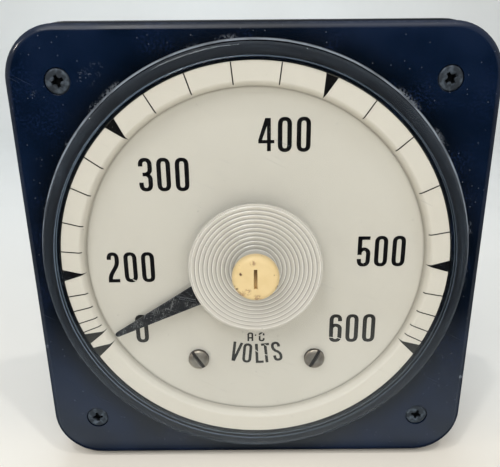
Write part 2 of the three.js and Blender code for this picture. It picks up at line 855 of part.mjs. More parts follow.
function zeroAdjuster() {
  const tipBack = driveDiscBack;
  const shaftBack = driveDiscFront + seat;
  const knob = turned(
    [
      [0, tipBack],
      [adjusterTip, tipBack],
      [adjusterTip, shaftBack],
      [adjusterShaft, shaftBack],
      [adjusterShaft, knobBack],
      [knobRadius - knobBevel / 2, knobBack],
      [knobRadius, knobBack + knobBevel / 2],
      [knobRadius, knobFront - knobBevel],
      [knobRadius - knobBevel / 3, knobFront - knobBevel / 3],
      [knobRadius - knobBevel, knobFront],
      [0, knobFront],
    ],
    plainFacets,
  );
  const [a, b] = [knobSlotWidth / 2, knobSlotLength / 2];
  return knob.subtract(block(-a, a, -b, b, knobFront - knobSlotDepth, knobFront + overrun));
}

function adjusterDrive() {
  const disc = tube(adjusterTip + fit, driveDiscRadius, driveDiscBack, driveDiscFront, smallFacets);
  return disc.add(cylinder(drivePin, drivePinEnd, driveDiscBack + seat, tinyFacets, 0, drivePinPlace));
}

// Bearings and bridges

function frontJewel() {
  const screw = cylinder(jewelRadius, jewelBack, jewelFront, tinyFacets);
  return screw.subtract(cylinder(jewelCup, jewelBack - overrun, jewelBack + jewelCupDepth, tinyFacets));
}

function rearJewel() {
  const screw = cylinder(jewelRadius, rearJewelFront - rearJewelLength, rearJewelFront, tinyFacets);
  const cupFloor = rearJewelFront - jewelCupDepth;
  return screw.subtract(cylinder(jewelCup, cupFloor, rearJewelFront + overrun, tinyFacets));
}

function frontBridge() {
  const foot = -frontBridgeFootPlace;
  const outside = foot - frontBridgeUpright;
  const low = movementFront + seat;
  const footTop = low + frontBridgeFootThickness;
  const arm = sideProfile(
    [
      [0, frontBridgeBack],
      [0, frontBridgeFace],
      [outside, frontBridgeFace],
      [outside, low],
      [foot, low],
      [foot, frontBridgeBack],
    ],
    frontBridgeWidth,
  );
  const hub = cylinder(frontBridgeHub, frontBridgeBack, frontBridgeFace, smallFacets);
  const half = frontBridgeFootWidth / 2;
  const base = block(-half, half, foot - frontBridgeFootLength, foot, low, footTop);
  const bore = cylinder(jewelRadius + fit, frontBridgeBack - overrun, 0, tinyFacets);
  const rivetEnd = movementBack - seat;
  const rivet = cylinder(frontBridgeRivet, rivetEnd, footTop, tinyFacets, 0, -frontBridgeRivetPlace);
  return joined([arm, hub, base, rivet]).subtract(bore);
}

function rearBridge() {
  const half = rearBridgeWidth / 2;
  const end = pillarPlace + half;
  const strap = block(-half, half, -end, end, rearBridgeBack, rearBridgeFront);
  const arm = block(0, rearBridgeArmReach, -half, half, rearBridgeBack, rearBridgeFront);
  const holes = [-pillarPlace, pillarPlace].map((y) => {
    return cylinder(pillarStub + fit, rearBridgeBack - overrun, rearBridgeFront + overrun, tinyFacets, 0, y);
  });
  const bore = cylinder(jewelRadius + fit, rearBridgeBack - overrun, rearBridgeFront + overrun, tinyFacets);
  return strap.add(arm).subtract(joined([...holes, bore]));
}

// Movement plate and what it carries

const earAngles = [0, 120, 240];
const earPlace = (degrees, radius) => [
  -radius * Math.sin(radians(degrees)),
  radius * Math.cos(radians(degrees)),
];
const earPlaces = earAngles.map((degrees) => earPlace(degrees, movementScrewPlace));
const pillarPlaces = [
  [0, pillarPlace],
  [0, -pillarPlace],
];

function movementPlate() {
  const [low, high] = [movementBack, movementFront];
  const half = movementEarWidth / 2;
  const ears = earAngles.map((degrees) => turn(block(-half, half, 0, movementEarReach, low, high), degrees));
  const plate = joined([cylinder(movementPlateRadius, low, high, plainFacets), ...ears]);
  const hole = (radius, x, y) => cylinder(radius, low - overrun, high + overrun, tinyFacets, x, y);
  const screwBore = movementScrewShank + fit;
  const cuts = [
    cylinder(movementPlateHole, low - overrun, high + overrun, plainFacets),
    atEach(earPlaces, (x, y) => hole(screwBore, x, y)),
    hole(frontBridgeRivet + fit, 0, -frontBridgeRivetPlace),
  ];
  return plate.subtract(joined(cuts)).add(dialPosts()).add(pillars());
}

function movementScrew(x, y) {
  const headBack = movementFront + seat;
  const headFront = headBack + movementScrewHeadHeight;
  const shank = cylinder(movementScrewShank, headBack - movementScrewLength, headBack + seat, tinyFacets);
  const head = cylinder(movementScrewHead, headBack, headFront, tinyFacets);
  const reach = movementScrewHead + overrun;
  const half = screwSlotWidth / 2;
  const slot = block(-reach, reach, -half, half, headFront - screwSlotDepth, headFront + overrun);
  return shank.add(head.subtract(slot)).translate([x, y, 0]);
}

// The pillars behind the movement plate, with threaded ends that go through the rear bridge.
function pillars() {
  const [low, high] = [rearBridgeFront + seat, movementFront];
  return atEach(pillarPlaces, (x, y) => {
    const stub = cylinder(pillarStub, pillarEnd, high, tinyFacets, x, y);
    return cylinder(pillarRadius, low, high, tinyFacets, x, y).add(stub);
  });
}

function pillarNut(x, y) {
  const high = rearBridgeBack - seat;
  const low = high - pillarNutHeight;
  const bore = cylinder(pillarStub + fit, low - overrun, high + overrun, tinyFacets, x, y);
  return hexagon(pillarNutFlats, low, high, x, y).subtract(bore);
}

// Coil, its bobbin and the fixed iron in its bore

function coilBobbin() {
  const sleeve = bobbinBore + bobbinSleeve;
  const [front, back, flange] = [bobbinFront, bobbinBack, bobbinFlangeThickness];
  return turned(
    [
      [bobbinBore, back],
      [bobbinFlangeRadius, back],
      [bobbinFlangeRadius, back + flange],
      [sleeve, back + flange],
      [sleeve, front - flange],
      [bobbinFlangeRadius, front - flange],
      [bobbinFlangeRadius, front],
      [bobbinBore, front],
    ],
    plainFacets,
  );
}

function coilWinding() {
  const low = bobbinBack + bobbinFlangeThickness + seat;
  const high = bobbinFront - bobbinFlangeThickness - seat;
  return tube(bobbinBore + bobbinSleeve + fit, windingRadius, low, high, plainFacets);
}

function fixedIron() {
  const outer = bobbinBore - fit;
  const [low, high] = [vaneMiddle - fixedIronLength / 2, vaneMiddle + fixedIronLength / 2];
  const wall = arcWall(outer - fixedIronThickness, outer, fixedIronDegrees);
  const sheet = prism(wall, low, high, sheetSteps);
  const reach = outer + overrun;
  const wedge = new THREE.Shape();
  wedge.moveTo(-reach, low + fixedIronTip);
  wedge.lineTo(reach, high);
  wedge.lineTo(reach, high + overrun);
  wedge.lineTo(-reach, high + overrun);
  const options = { depth: 2 * reach, bevelEnabled: false };
  const cut = new THREE.ExtrudeGeometry(wedge, options).rotateX(Math.PI / 2).translate(0, reach, 0);
  return turn(sheet.subtract(solidOf(cut)), fixedIronTurnDegrees);
}

function dampingMagnet() {
  const half = magnetWidth / 2;
  const yoke = block(magnetInner, magnetOuter, -half, half, magnetBackFace, magnetFront);
  const slotFront = magnetFront - magnetJaw;
  const slotBack = magnetBackFace + magnetJaw;
  const inside = magnetInner - overrun;
  return yoke.subtract(
    block(inside, magnetOuter - magnetBack, -half - overrun, half + overrun, slotBack, slotFront),
  );
}

// Case and its fasteners

function rearCase() {
  const barrel = cylinder(barrelRadius, caseBackFace, flangeBack + seat, fineFacets);
  let body = prism(roundedSquare(flangeSide, flangeCorner), flangeBack, flangeFront).add(barrel);
  body = body.subtract(cylinder(barrelInner, caseFloor, flangeFront + overrun, fineFacets));
  const lugTop = movementBack - seat;
  const half = lugWidth / 2;
  const reach = barrelInner + barrelWall / 2;
  const lug = block(-half, half, lugInner, reach, lugTop - lugDepth, lugTop);
  body = body.add(joined(earAngles.map((degrees) => turn(lug, degrees))));
  const lugBore = (x, y) => {
    return cylinder(movementScrewShank + fit, lugTop - lugDepth + overrun, flangeFront, tinyFacets, x, y);
  };
  const sink = flangeFront - 2 * seat - studCollarHeight;
  const studHoles = (x, y) => {
    const bore = cylinder(studRadius + fit, flangeBack - overrun, flangeFront + overrun, smallFacets, x, y);
    return bore.add(cylinder(studCollarRadius + fit, sink, flangeFront + overrun, smallFacets, x, y));
  };
  const terminalHole = (x, y) => {
    return cylinder(terminalRadius + fit, caseBackFace - overrun, caseFloor + overrun, smallFacets, x, y);
  };
  const cuts = [atEach(earPlaces, lugBore), atEach(corners, studHoles), atEach(terminalPlaces, terminalHole)];
  return body.subtract(joined(cuts));
}

function mountingStud(x, y) {
  const collarFront = flangeFront - seat;
  const stud = cylinder(studRadius, flangeBack - studLength, collarFront, tinyFacets, x, y);
  const collar = cylinder(studCollarRadius, collarFront - studCollarHeight, collarFront, smallFacets, x, y);
  const [low, high] = [collarFront - studBoreDepth, collarFront + overrun];
  return stud.add(collar).subtract(cylinder(coverScrewShank + fit, low, high, tinyFacets, x, y));
}

// A nut with a flange in place of a loose washer.
function flangedNut(flats, height, flangeRadius, flangeHeight, bore, front, x, y) {
  const back = front - height;
  const flange = cylinder(flangeRadius, front - flangeHeight, front, smallFacets, x, y);
  const hole = cylinder(bore + fit, back - overrun, front + overrun, tinyFacets, x, y);
  return hexagon(flats, back, front, x, y).add(flange).subtract(hole);
}

function mountingNut(x, y) {
  const front = flangeBack - seat;
  return flangedNut(
    mountNutFlats,
    mountNutHeight,
    mountNutFlange,
    mountNutFlangeHeight,
    studRadius,
    front,
    x,
    y,
  );
}

// Terminals

const terminalHeadBack = caseFloor + seat + tagThickness + seat;

function terminalStud(x, y) {
  const head = hexagon(
    2 * terminalHeadRadius * Math.cos(Math.PI / 6),
    terminalHeadBack,
    terminalHeadBack + terminalHeadHeight,
    x,
    y,
  );
  const top = terminalHeadBack + seat;
  return head.add(cylinder(terminalRadius, caseBackFace - terminalReach, top, smallFacets, x, y));
}

function terminalNut(x, y, front) {
  return flangedNut(
    terminalNutFlats,
    terminalNutHeight,
    terminalNutFlange,
    terminalNutFlangeHeight,
    terminalRadius,
    front,
    x,
    y,
  );
}

const clampNut = (x, y) => terminalNut(x, y, caseBackFace - seat);
const wireNut = (x, y) => terminalNut(x, y, caseBackFace - seat - terminalNutHeight - terminalNutSpacing);

function solderTag(x, y) {
  const [low, high] = [caseFloor + seat, caseFloor + seat + tagThickness];
  const half = tagTabWidth / 2;
  const tab = block(x - half, x + half, y, y + tagTabLength, low, high);
  const ring = cylinder(tagRadius, low, high, smallFacets, x, y).add(tab);
  return ring.subtract(cylinder(terminalRadius + fit, low - overrun, high + overrun, tinyFacets, x, y));
}

// Series resistor

const bracketPlace = resistorLength / 2 + seat + bracketThickness;

function seriesResistor() {
  const rod = (radius, length) => {
    const geometry = new THREE.CylinderGeometry(radius, radius, length, smallFacets);
    return solidOf(geometry.rotateZ(Math.PI / 2).translate(0, resistorHeight, resistorLevel));
  };
  return rod(resistorRadius, resistorLength).add(
    rod(resistorStub, resistorLength + 2 * resistorStubLength),
  );
}

function resistorBracket() {
  const low = caseFloor + seat;
  const high = resistorLevel + resistorStub + bracketMargin;
  const half = bracketWidth / 2;
  const [bottom, top] = [resistorHeight - half, resistorHeight + half];
  const boreRadius = resistorStub + fit;
  const bore = new THREE.CylinderGeometry(boreRadius, boreRadius, resistorLength * 2, smallFacets);
  const hole = solidOf(bore.rotateZ(Math.PI / 2).translate(0, resistorHeight, resistorLevel));
  const inside = resistorLength / 2 + seat;
  const base = block(-bracketPlace, bracketPlace, bottom, top, low, low + bracketThickness);
  const left = block(-bracketPlace, -inside, bottom, top, low, high);
  const right = block(inside, bracketPlace, bottom, top, low, high);
  return joined([base, left, right]).subtract(hole);
}

// Internal leads, each ending just short of what it is soldered to

function leads() {
  const tagLevel = caseFloor + seat + tagThickness + leadRadius + leadTagGap;
  const tagEnd = -terminalDrop + tagTabLength - tagTabWidth / 2;
  const side = terminalSpacing / 2;
  const stubEnd = resistorLength / 2 + resistorStubLength + leadTagGap;
  const bend = leadBend;
  const coilLevel = bobbinBack + bobbinFlangeThickness / 2;
  const coilPoint = (radius, sign, z) => [
    radius * Math.cos(radians(coilTagDegrees)),
    sign * radius * Math.sin(radians(coilTagDegrees)),
    z,
  ];
  const coilEnd = bobbinFlangeRadius + leadTagGap;
  const fromCoil = (sign) => [
    coilPoint(coilEnd, sign, coilLevel),
    coilPoint(coilEnd + bend, sign, coilLevel),
    coilPoint(coilEnd + 2 * bend, sign, coilLevel - 2 * bend),
  ];
  return [
    lead(
      'supply_lead',
      [
        [-side, tagEnd, tagLevel],
        [-side, tagEnd + bend, tagLevel],
        [-stubEnd - bend, resistorHeight - 3 * bend, tagLevel],
        [-stubEnd - 2 * bend, resistorHeight, (tagLevel + resistorLevel) / 2],
        [-stubEnd - bend, resistorHeight, resistorLevel],
        [-stubEnd, resistorHeight, resistorLevel],
      ],
      redInsulation(),
    ),
    lead(
      'resistor_lead',
      [
        ...fromCoil(1),
        [stubEnd + bend, resistorHeight - 3 * bend, resistorLevel + 3 * bend],
        [stubEnd + 2 * bend, resistorHeight - bend / 2, resistorLevel + bend],
        [stubEnd + bend, resistorHeight, resistorLevel],
        [stubEnd, resistorHeight, resistorLevel],
      ],
      whiteInsulation(),
    ),
    lead(
      'return_lead',
      [
        ...fromCoil(-1),
        [side + bend / 2, tagEnd + bend, tagLevel + 2 * bend],
        [side, tagEnd + bend, tagLevel],
        [side, tagEnd, tagLevel],
      ],
      whiteInsulation(),
    ),
  ];
}

// The assembly

const movingElement = new THREE.Group();
movingElement.rotation.z = radians(pointerRestDegrees);
movingElement.add(
  meshOf('pointer', pointerBlade(), pointerPaint()),
  meshOf('pointer_hub', pointerHub(), brass()),
  meshOf('balance_nut_1', balanceNut(1), nickel()),
  meshOf('balance_nut_2', balanceNut(-1), nickel()),
  meshOf('spindle', spindle(), steel()),
  meshOf('moving_iron', movingIron(), darkSteel()),
  meshOf('damping_disc', dampingDisc(), aluminium()),
);

const adjuster = new THREE.Group();
adjuster.add(
  meshOf('zero_adjuster', zeroAdjuster(), creamPlastic()),
  meshOf('adjuster_drive', adjusterDrive(), brass()),
);

const cover = new THREE.Group();
cover.add(
  meshOf('front_bezel', frontBezel(), blackPlastic()),
  meshOf('window', clearWindow(), clearPlastic()),
  meshOf('window_gasket', windowGasket(), rubber()),
  meshOf('centre_boss', centreBoss(), frostedPlastic()),
  meshOf('cover_gasket', coverGasket(), rubber()),
  ...meshAtEach('cover_screw', corners, crossHeadScrew, darkSteel()),
);

const dial = new THREE.Group();
dial.add(
  meshOf('scale_ring', scaleRing(), dialPaint()),
  meshOf('dial_plate', dialPlate(), dialPaint()),
  ...meshAtEach('dial_screw', dialScrewPlaces, dialScrew, nickel()),
);

const movement = new THREE.Group();
movement.add(
  meshOf('zero_lever', zeroLever(), brass()),
  meshOf('hairspring', hairspring(), phosphorBronze()),
  meshOf('front_jewel', frontJewel(), brass()),
  meshOf('rear_jewel', rearJewel(), brass()),
  meshOf('front_bridge', frontBridge(), brass()),
  meshOf('rear_bridge', rearBridge(), brass()),
  meshOf('movement_plate', movementPlate(), aluminium()),
  ...meshAtEach('movement_screw', earPlaces, movementScrew, nickel()),
  ...meshAtEach('pillar_nut', pillarPlaces, pillarNut, brass()),
  meshOf('coil_bobbin', coilBobbin(), amberPlastic()),
  meshOf('coil_winding', coilWinding(), enamelledCopper()),
  meshOf('fixed_iron', fixedIron(), darkSteel()),
  meshOf('damping_magnet', dampingMagnet(), darkSteel()),
);

const caseGroup = new THREE.Group();
caseGroup.add(
  meshOf('rear_case', rearCase(), blackPlastic()),
  ...meshAtEach('mounting_stud', corners, mountingStud, steel()),
  ...meshAtEach('mounting_nut', corners, mountingNut, steel()),
  ...meshAtEach('terminal_stud', terminalPlaces, terminalStud, brass()),
  ...meshAtEach('clamp_nut', terminalPlaces, clampNut, brass()),
  ...meshAtEach('wire_nut', terminalPlaces, wireNut, brass()),
  ...meshAtEach('solder_tag', terminalPlaces, solderTag, nickel()),
  meshOf('series_resistor', seriesResistor(), ceramic()),
  meshOf('resistor_bracket', resistorBracket(), steel()),
  ...leads(),
);

const meter = new THREE.Group();
meter.add(cover, dial, movement, movingElement, adjuster, caseGroup);
meter.rotation.x = Math.PI / 2;
meter.position.set(0, (flangeFront + flangeBack) / 2, flangeSide / 2);

const voltmeter = new THREE.Group();
voltmeter.add(meter);
export default voltmeter;
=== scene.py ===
"""Looks of a long-scale switchboard voltmeter that stands on the bottom edge of its base flange.

Every piece is drawn in millimetres as the reader sees the face: x to the right, y up and z out of
the dial, with z = 0 on the bezel's plate and the dial axis at the origin. FACE stands it up in the
meter's own frame, in metres.
"""

import math
from functools import partial

import bmesh
import bpy
from mathutils import Matrix, Vector


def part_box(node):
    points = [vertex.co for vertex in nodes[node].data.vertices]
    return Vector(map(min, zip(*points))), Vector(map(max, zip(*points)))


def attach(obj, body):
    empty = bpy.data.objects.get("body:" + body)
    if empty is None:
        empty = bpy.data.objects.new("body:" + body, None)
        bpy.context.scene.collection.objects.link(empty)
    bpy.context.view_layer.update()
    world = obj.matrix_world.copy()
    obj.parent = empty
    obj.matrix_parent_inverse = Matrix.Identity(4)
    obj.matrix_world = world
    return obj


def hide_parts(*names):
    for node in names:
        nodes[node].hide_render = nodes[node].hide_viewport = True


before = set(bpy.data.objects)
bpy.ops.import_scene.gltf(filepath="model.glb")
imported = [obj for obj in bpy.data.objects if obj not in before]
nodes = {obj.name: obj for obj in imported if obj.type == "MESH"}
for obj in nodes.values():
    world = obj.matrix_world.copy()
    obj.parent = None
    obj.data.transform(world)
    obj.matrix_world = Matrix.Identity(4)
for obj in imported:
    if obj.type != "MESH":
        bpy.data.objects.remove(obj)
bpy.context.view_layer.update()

PER_METRE = 1000  # millimetres
MILLIMETRE = 1 / PER_METRE
bezel_low, bezel_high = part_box("front_bezel")
PLATE_Y = bezel_low.y * PER_METRE
AXIS_Z = (bezel_low.z + bezel_high.z) / 2 * PER_METRE
FACE = Matrix.Scale(MILLIMETRE, 4) @ Matrix(
    ((1, 0, 0, 0), (0, 0, -1, PLATE_Y), (0, 1, 0, AXIS_Z), (0, 0, 0, 1))
)

# Sizes, in millimetres. Roundings and chamfers under half a millimetre stand where they are cut.

SEAT = 0.25  # between two pieces where one rests on the other
FIT = 0.3  # radial room round a pin or screw

BEZEL_SIDE = 109.3
BEZEL_CORNER = 12.0
BEZEL_DEPTH = 8.0
BEZEL_PLATE = 3.2
BEZEL_SKIRT = 2.5
BEZEL_ROUND = 1.8
BEZEL_RIM = 52.3
DIAL_OPENING = 47.15
GROOVE_INNER = 47.8
GROOVE_OUTER = 50.9
GROOVE_DEPTH = 2.6
LIP_DROP = 0.1
CORNER_PLACE = 42.8625
CORNER_BOSS = 5.6

WINDOW_RADIUS = 50.6
WINDOW_FRONT = 2.5
WINDOW_THICKNESS = 2.3
WINDOW_WALL = 2.5
WINDOW_ROUND = 0.9
WINDOW_HOLE = 14.6
WINDOW_FOOT = -1.25

BOSS_RADIUS = 16.0
BOSS_SEAT = 2.75
RIDGE_FOOT = 2.95
RIDGE_HEIGHT = 0.35
RIDGE_PITCH = 1.03
RIDGE_OUTERMOST = 15.42
RIDGE_COUNT = 10
# One ridge from outside to inside: how far in from its crest, and how high as a share
RIDGE_SHAPE = ((-0.22, 0.0), (-0.1, 0.82), (0.0, 1.0), (0.12, 0.93), (0.45, 0.5), (0.76, 0.04))
BOSS_HOLLOW = 1.65
SPIGOT_RADIUS = 14.3
SPIGOT_WALL = 1.4
SPIGOT_END = 0.1
COLLAR_RADIUS = 4.9
COLLAR_TOP = 6.85

KNOB_RADIUS = 5.5
KNOB_BACK = 7.1
KNOB_FRONT = 9.5
KNOB_ROUND = 1.4
KNOB_SLOT_LENGTH = 4.7
KNOB_SLOT_WIDTH = 0.8
KNOB_SLOT_DEPTH = 1.1
SHAFT_RADIUS = 1.9
SHAFT_BACK = 1.65
SHAFT_TIP = 1.3
SHAFT_END = 0.6

RING_OUTER = 46.9
RING_SHOULDER = 42.9
RING_TURN = 41.9
RING_FOOT = 41.5
RING_TOP = -0.35
RING_BACK = -2.95
DIAL_FLOOR = -3.2
DIAL_BACK = -4.2
DIAL_RADIUS = 46.4
DIAL_HOLE = 12.5
STOP_PIN = 0.7
STOP_PIN_PLACE = 14.0
STOP_PIN_DEGREES = 136.2
DIAL_SCREW_PLACES = ((-15.1, -26.35, -57.0), (15.1, -26.35, 63.0))
DIAL_SCREW_HEAD = 2.65
DIAL_SCREW_HEIGHT = 1.3
DIAL_SCREW_SLOT = 0.85
DIAL_SCREW_SLOT_DEPTH = 0.6
DIAL_SCREW_SHANK = 1.2
DIAL_SCREW_LENGTH = 7.0

COVER_SCREW_HEAD = 2.78
COVER_SCREW_FRONT = -0.05
COVER_SCREW_HEIGHT = 1.7
COVER_SCREW_DOME = 0.5
COVER_SCREW_SHANK = 1.3
COVER_SCREW_LENGTH = 14.0
COUNTERBORE = 2.85
COUNTERBORE_DEPTH = 2.3
CROSS_LENGTH = 2.9
CROSS_WIDTH = 0.9
CROSS_DEPTH = 1.1
CROSS_LEANS = (20.0, 34.0, 6.0, -14.0)

POINTER_TIP = 40.2
POINTER_TIP_WIDTH = 1.3
POINTER_SHOULDER = 15.6
POINTER_SHOULDER_WIDTH = 5.5
POINTER_HEEL = 9.4
POINTER_HEEL_WIDTH = 2.6
POINTER_FRONT = -0.75
POINTER_THICKNESS = 0.35
POINTER_ROOT = -4.4
POINTER_CRANK = 8.0
POINTER_BORE = 1.8
POINTER_RING = 3.1
POINTER_REST_DEGREES = 117.4
# The blade's root is folded over: the fold's corners, and a line beside its edge that carries a painted
# highlight
POINTER_FOLD = [(2.1, 21.1), (-0.9, 17.3), (-1.9, 15.3), (2.55, 15.3)]
POINTER_FOLD_RISE = 0.12
POINTER_HIGHLIGHT_LINE = [(1.3, 20.9), (-1.3, 17.7)]
POINTER_HIGHLIGHT_WIDTH = 0.24
POINTER_HIGHLIGHT_LIFT = 0.02

FLANGE_SIDE = 111.5
FLANGE_CORNER = 12.9
FLANGE_FRONT = -9.3
FLANGE_BACK = -12.3
GASKET_SIDE = 108.1
GASKET_CORNER = 11.4
GASKET_BACK = -9.05
GASKET_FRONT = -8.25
GASKET_HOLE = 50.65
BARREL_RADIUS = 50.0
BARREL_INNER = 47.2
CASE_FLOOR = -62.5
CASE_BACK = -66.0
LUG_INNER = 36.8
LUG_TOP = -14.05
LUG_DEPTH = 10.0
LUG_WIDTH = 9.0
LUG_BORE = 1.7
LUG_BORE_PLACE = 40.8
LUG_DEGREES = (0.0, 120.0, 240.0)

STUD_RADIUS = 2.4
STUD_PITCH = 0.794
STUD_END = -38.3
STUD_COLLAR = 4.2
STUD_COLLAR_HEIGHT = 1.6
STUD_BORE_DEPTH = 8.0
MOUNT_NUT = (9.5, 4.2, 6.0, 1.0)  # across flats, height, flange radius, flange height
MOUNT_NUT_LEAN = 13.0  # degrees more for each nut, because no two are tightened alike

TERMINAL_X = 19.05
TERMINAL_Y = -19.05
TERMINAL_RADIUS = 3.175
TERMINAL_PITCH = 1.27
TERMINAL_END = -86.0
TERMINAL_HEAD = 5.6
TERMINAL_HEAD_BACK = -61.4
TERMINAL_HEAD_HEIGHT = 2.2
TERMINAL_NUT = (11.1, 5.0, 6.8, 1.1)
TERMINAL_NUT_SPACING = 2.4

# Scale: degrees clockwise from straight up. The bold triangles stand at every hundred.

SCALE_DEGREES = {
    0: -119.2, 100: -114.05, 120: -111.6, 140: -108.45, 160: -104.25, 180: -99.3, 200: -92.4,
    220: -84.95, 240: -76.0, 260: -65.4, 280: -55.55, 300: -43.45, 320: -31.2, 340: -19.0,
    360: -6.2, 380: 7.5, 400: 21.3, 420: 35.05, 440: 49.5, 460: 65.45, 480: 79.8, 500: 90.4,
    520: 100.0, 540: 106.9, 560: 112.3, 580: 116.1, 600: 119.1,
}
MARK_WIDTH = 0.27
MARK_FOOT = 41.95
TRIANGLE_BASE = 2.9
TRIANGLE_TIP = 41.6
PRINT_LIFT = 0.02
PRINT_THICKNESS = 0.02
PRINT_LOW = DIAL_FLOOR + PRINT_LIFT
PRINT_HIGH = PRINT_LOW + PRINT_THICKNESS

# Upper left, upper right, lower left, lower right
CORNERS = [(x, y) for y in (CORNER_PLACE, -CORNER_PLACE) for x in (-CORNER_PLACE, CORNER_PLACE)]
# Which way each quarter of a square lies, anticlockwise from the upper right
QUARTERS = ((1, 1), (-1, 1), (-1, -1), (1, -1))

# Facets round the dial's opening, its disc, the zero screw, a nut, a screw head, a stud and a bore
OPENING_FACETS = 360
DISC_FACETS = 240
KNOB_FACETS = 96
NUT_FACETS = 72
HEAD_FACETS = 48
STUD_FACETS = 40
BORE_FACETS = 24
CORNER_STEPS = 14  # along each rounded corner of a square
SHARPEST_BEND = math.radians(32)  # faces that meet at less than this are shaded as one


# Drawing


def circle(radius, count, x=0.0, y=0.0):
    """Points round a circle, anticlockwise."""
    steps = [2 * math.pi * i / count for i in range(count)]
    return [(x + radius * math.cos(a), y + radius * math.sin(a)) for a in steps]


def arc(x, y, rx, ry, start, end, steps, fullness=1.0):
    """Points along part of an ellipse, both ends included, with angles in degrees. A fullness
    under 1 fills out its corners."""
    points = []
    for i in range(steps + 1):
        a = math.radians(start + (end - start) * i / steps)
        c, s = math.cos(a), math.sin(a)
        c, s = (math.copysign(abs(share) ** fullness, share) for share in (c, s))
        points.append((x + rx * c, y + ry * s))
    return points


def rounded_square(side, corner):
    """A square outline with rounded corners, with as many points at any size."""
    middle = side / 2 - corner
    points = []
    for quarter, (sx, sy) in enumerate(QUARTERS):
        start = 90 * quarter
        points += arc(sx * middle, sy * middle, corner, corner, start, start + 90, CORNER_STEPS)
    return points


def turn(points, degrees, x=0.0, y=0.0):
    """Turn points anticlockwise about the axis, then shift them."""
    c, s = math.cos(math.radians(degrees)), math.sin(math.radians(degrees))
    return [(x + px * c - py * s, y + px * s + py * c) for px, py in points]


def lay(mesh, loop, z):
    """Put a loop of points at one height."""
    return [mesh.verts.new((x, y, z)) for x, y in loop]


def band(mesh, lower, upper):
    """Join two closed loops of as many points."""
    for i, corner in enumerate(lower):
        j = (i + 1) % len(lower)
        mesh.faces.new((corner, lower[j], upper[j], upper[i]))


def stack(mesh, sections):
    """Join loops that lie one behind the other. Each section is a loop and its height."""
    laid = [lay(mesh, loop, z) for loop, z in sections]
    for lower, upper in zip(laid, laid[1:]):
        band(mesh, lower, upper)
    return laid


def close(mesh, outline, *holes):
    """Fill the flat face inside an outline and leave its holes open."""
    if not holes:
        mesh.faces.new(outline)
        return
    edges = []
    for loop in (outline, *holes):
        for i, corner in enumerate(loop):
            pair = (corner, loop[(i + 1) % len(loop)])
            edges.append(mesh.edges.get(pair) or mesh.edges.new(pair))
    bmesh.ops.triangle_fill(mesh, use_beauty=True, use_dissolve=False, edges=edges)


def slab(mesh, outline, low, high, *holes):
    """A flat plate of any outline, with straight sides."""
    sides = [stack(mesh, [(loop, high), (loop, low)]) for loop in (outline, *holes)]
    close(mesh, *(side[0] for side in sides))
    close(mesh, *(side[-1] for side in sides))


def loft(mesh, sections, hollow=False):
    """Join loops into one closed body with flat ends. A hollow one closes on itself."""
    laid = stack(mesh, sections)
    if hollow:
        band(mesh, laid[-1], laid[0])
    else:
        close(mesh, laid[0])
        close(mesh, laid[-1])


def recessed(mesh, sections, recess):
    """A closed body with a recess in its last loop."""
    laid, cut = stack(mesh, sections), stack(mesh, recess)
    close(mesh, laid[-1], cut[0])
    close(mesh, cut[-1])
    close(mesh, laid[0])


def rounds(profile, count, x=0.0, y=0.0):
    """A circle for each (radius, z) point of a profile, with its height."""
    return [(circle(radius, count, x, y), z) for radius, z in profile]


def spin(mesh, profile, count, x=0.0, y=0.0, hollow=False):
    """Turn a profile of (radius, z) points about an axis."""
    loft(mesh, rounds(profile, count, x, y), hollow)


def rounding(radius, z, size, start, end, steps=5):
    """Profile points round an edge, about the middle of its rounding."""
    return arc(radius, z, size, size, start, end, steps)


def strip(mesh, steps, closed=False):
    """A thin strip. Each step is its two edges, then how low and how high it lies there."""
    loops = []
    for (ax, ay), (bx, by), low, high in steps:
        spots = ((ax, ay, low), (ax, ay, high), (bx, by, high), (bx, by, low))
        loops.append([mesh.verts.new(spot) for spot in spots])
    for one, other in zip(loops, loops[1:] + loops[:1] if closed else loops[1:]):
        band(mesh, one, other)
    if not closed:
        mesh.faces.new(loops[0])
        mesh.faces.new(loops[-1])


def ribbon(mesh, path, low, high, pen, closed=False):
    """A flat stroke along a path, with a pen that may be wider one way than the other."""
    steps = []
    last = len(path) - 1
    for i, point in enumerate(path):
        before = path[i - 1] if closed or i > 0 else point
        after = path[(i + 1) % len(path)] if closed or i < last else point
        into = Vector(point) - Vector(before)
        out = Vector(after) - Vector(point)
        into = into.normalized() if into.length > 0 else out.normalized()
        out = out.normalized() if out.length > 0 else into
        across = (into + out).normalized().orthogonal()
        reach = 1 / max(0.4, across.dot(into.orthogonal()))
        dx, dy = across.x * pen[0] / 2 * reach, across.y * pen[1] / 2 * reach
        x, y = point
        steps.append(((x + dx, y + dy), (x - dx, y - dy), low, high))
    strip(mesh, steps, closed)


def thread(mesh, radius, pitch, front, back, x, y, columns=28, rows=6):
    """A screwed shank whose ridge climbs once per pitch, with a chamfered back end."""
    depth = 0.55 * pitch
    count = int((front - back) / pitch * rows)
    sections = []
    for row in range(count + 1):
        z = front + (back - front) * row / count
        limit = radius - max(0.0, depth - (z - back)) * 0.9
        loop = []
        for column in range(columns):
            a = 2 * math.pi * column / columns
            rise = abs(2 * ((z / pitch - column / columns) % 1.0) - 1)
            r = min(limit, radius - depth * (1 - rise))
            loop.append((x + r * math.cos(a), y + r * math.sin(a)))
        sections.append((loop, z))
    loft(mesh, sections)


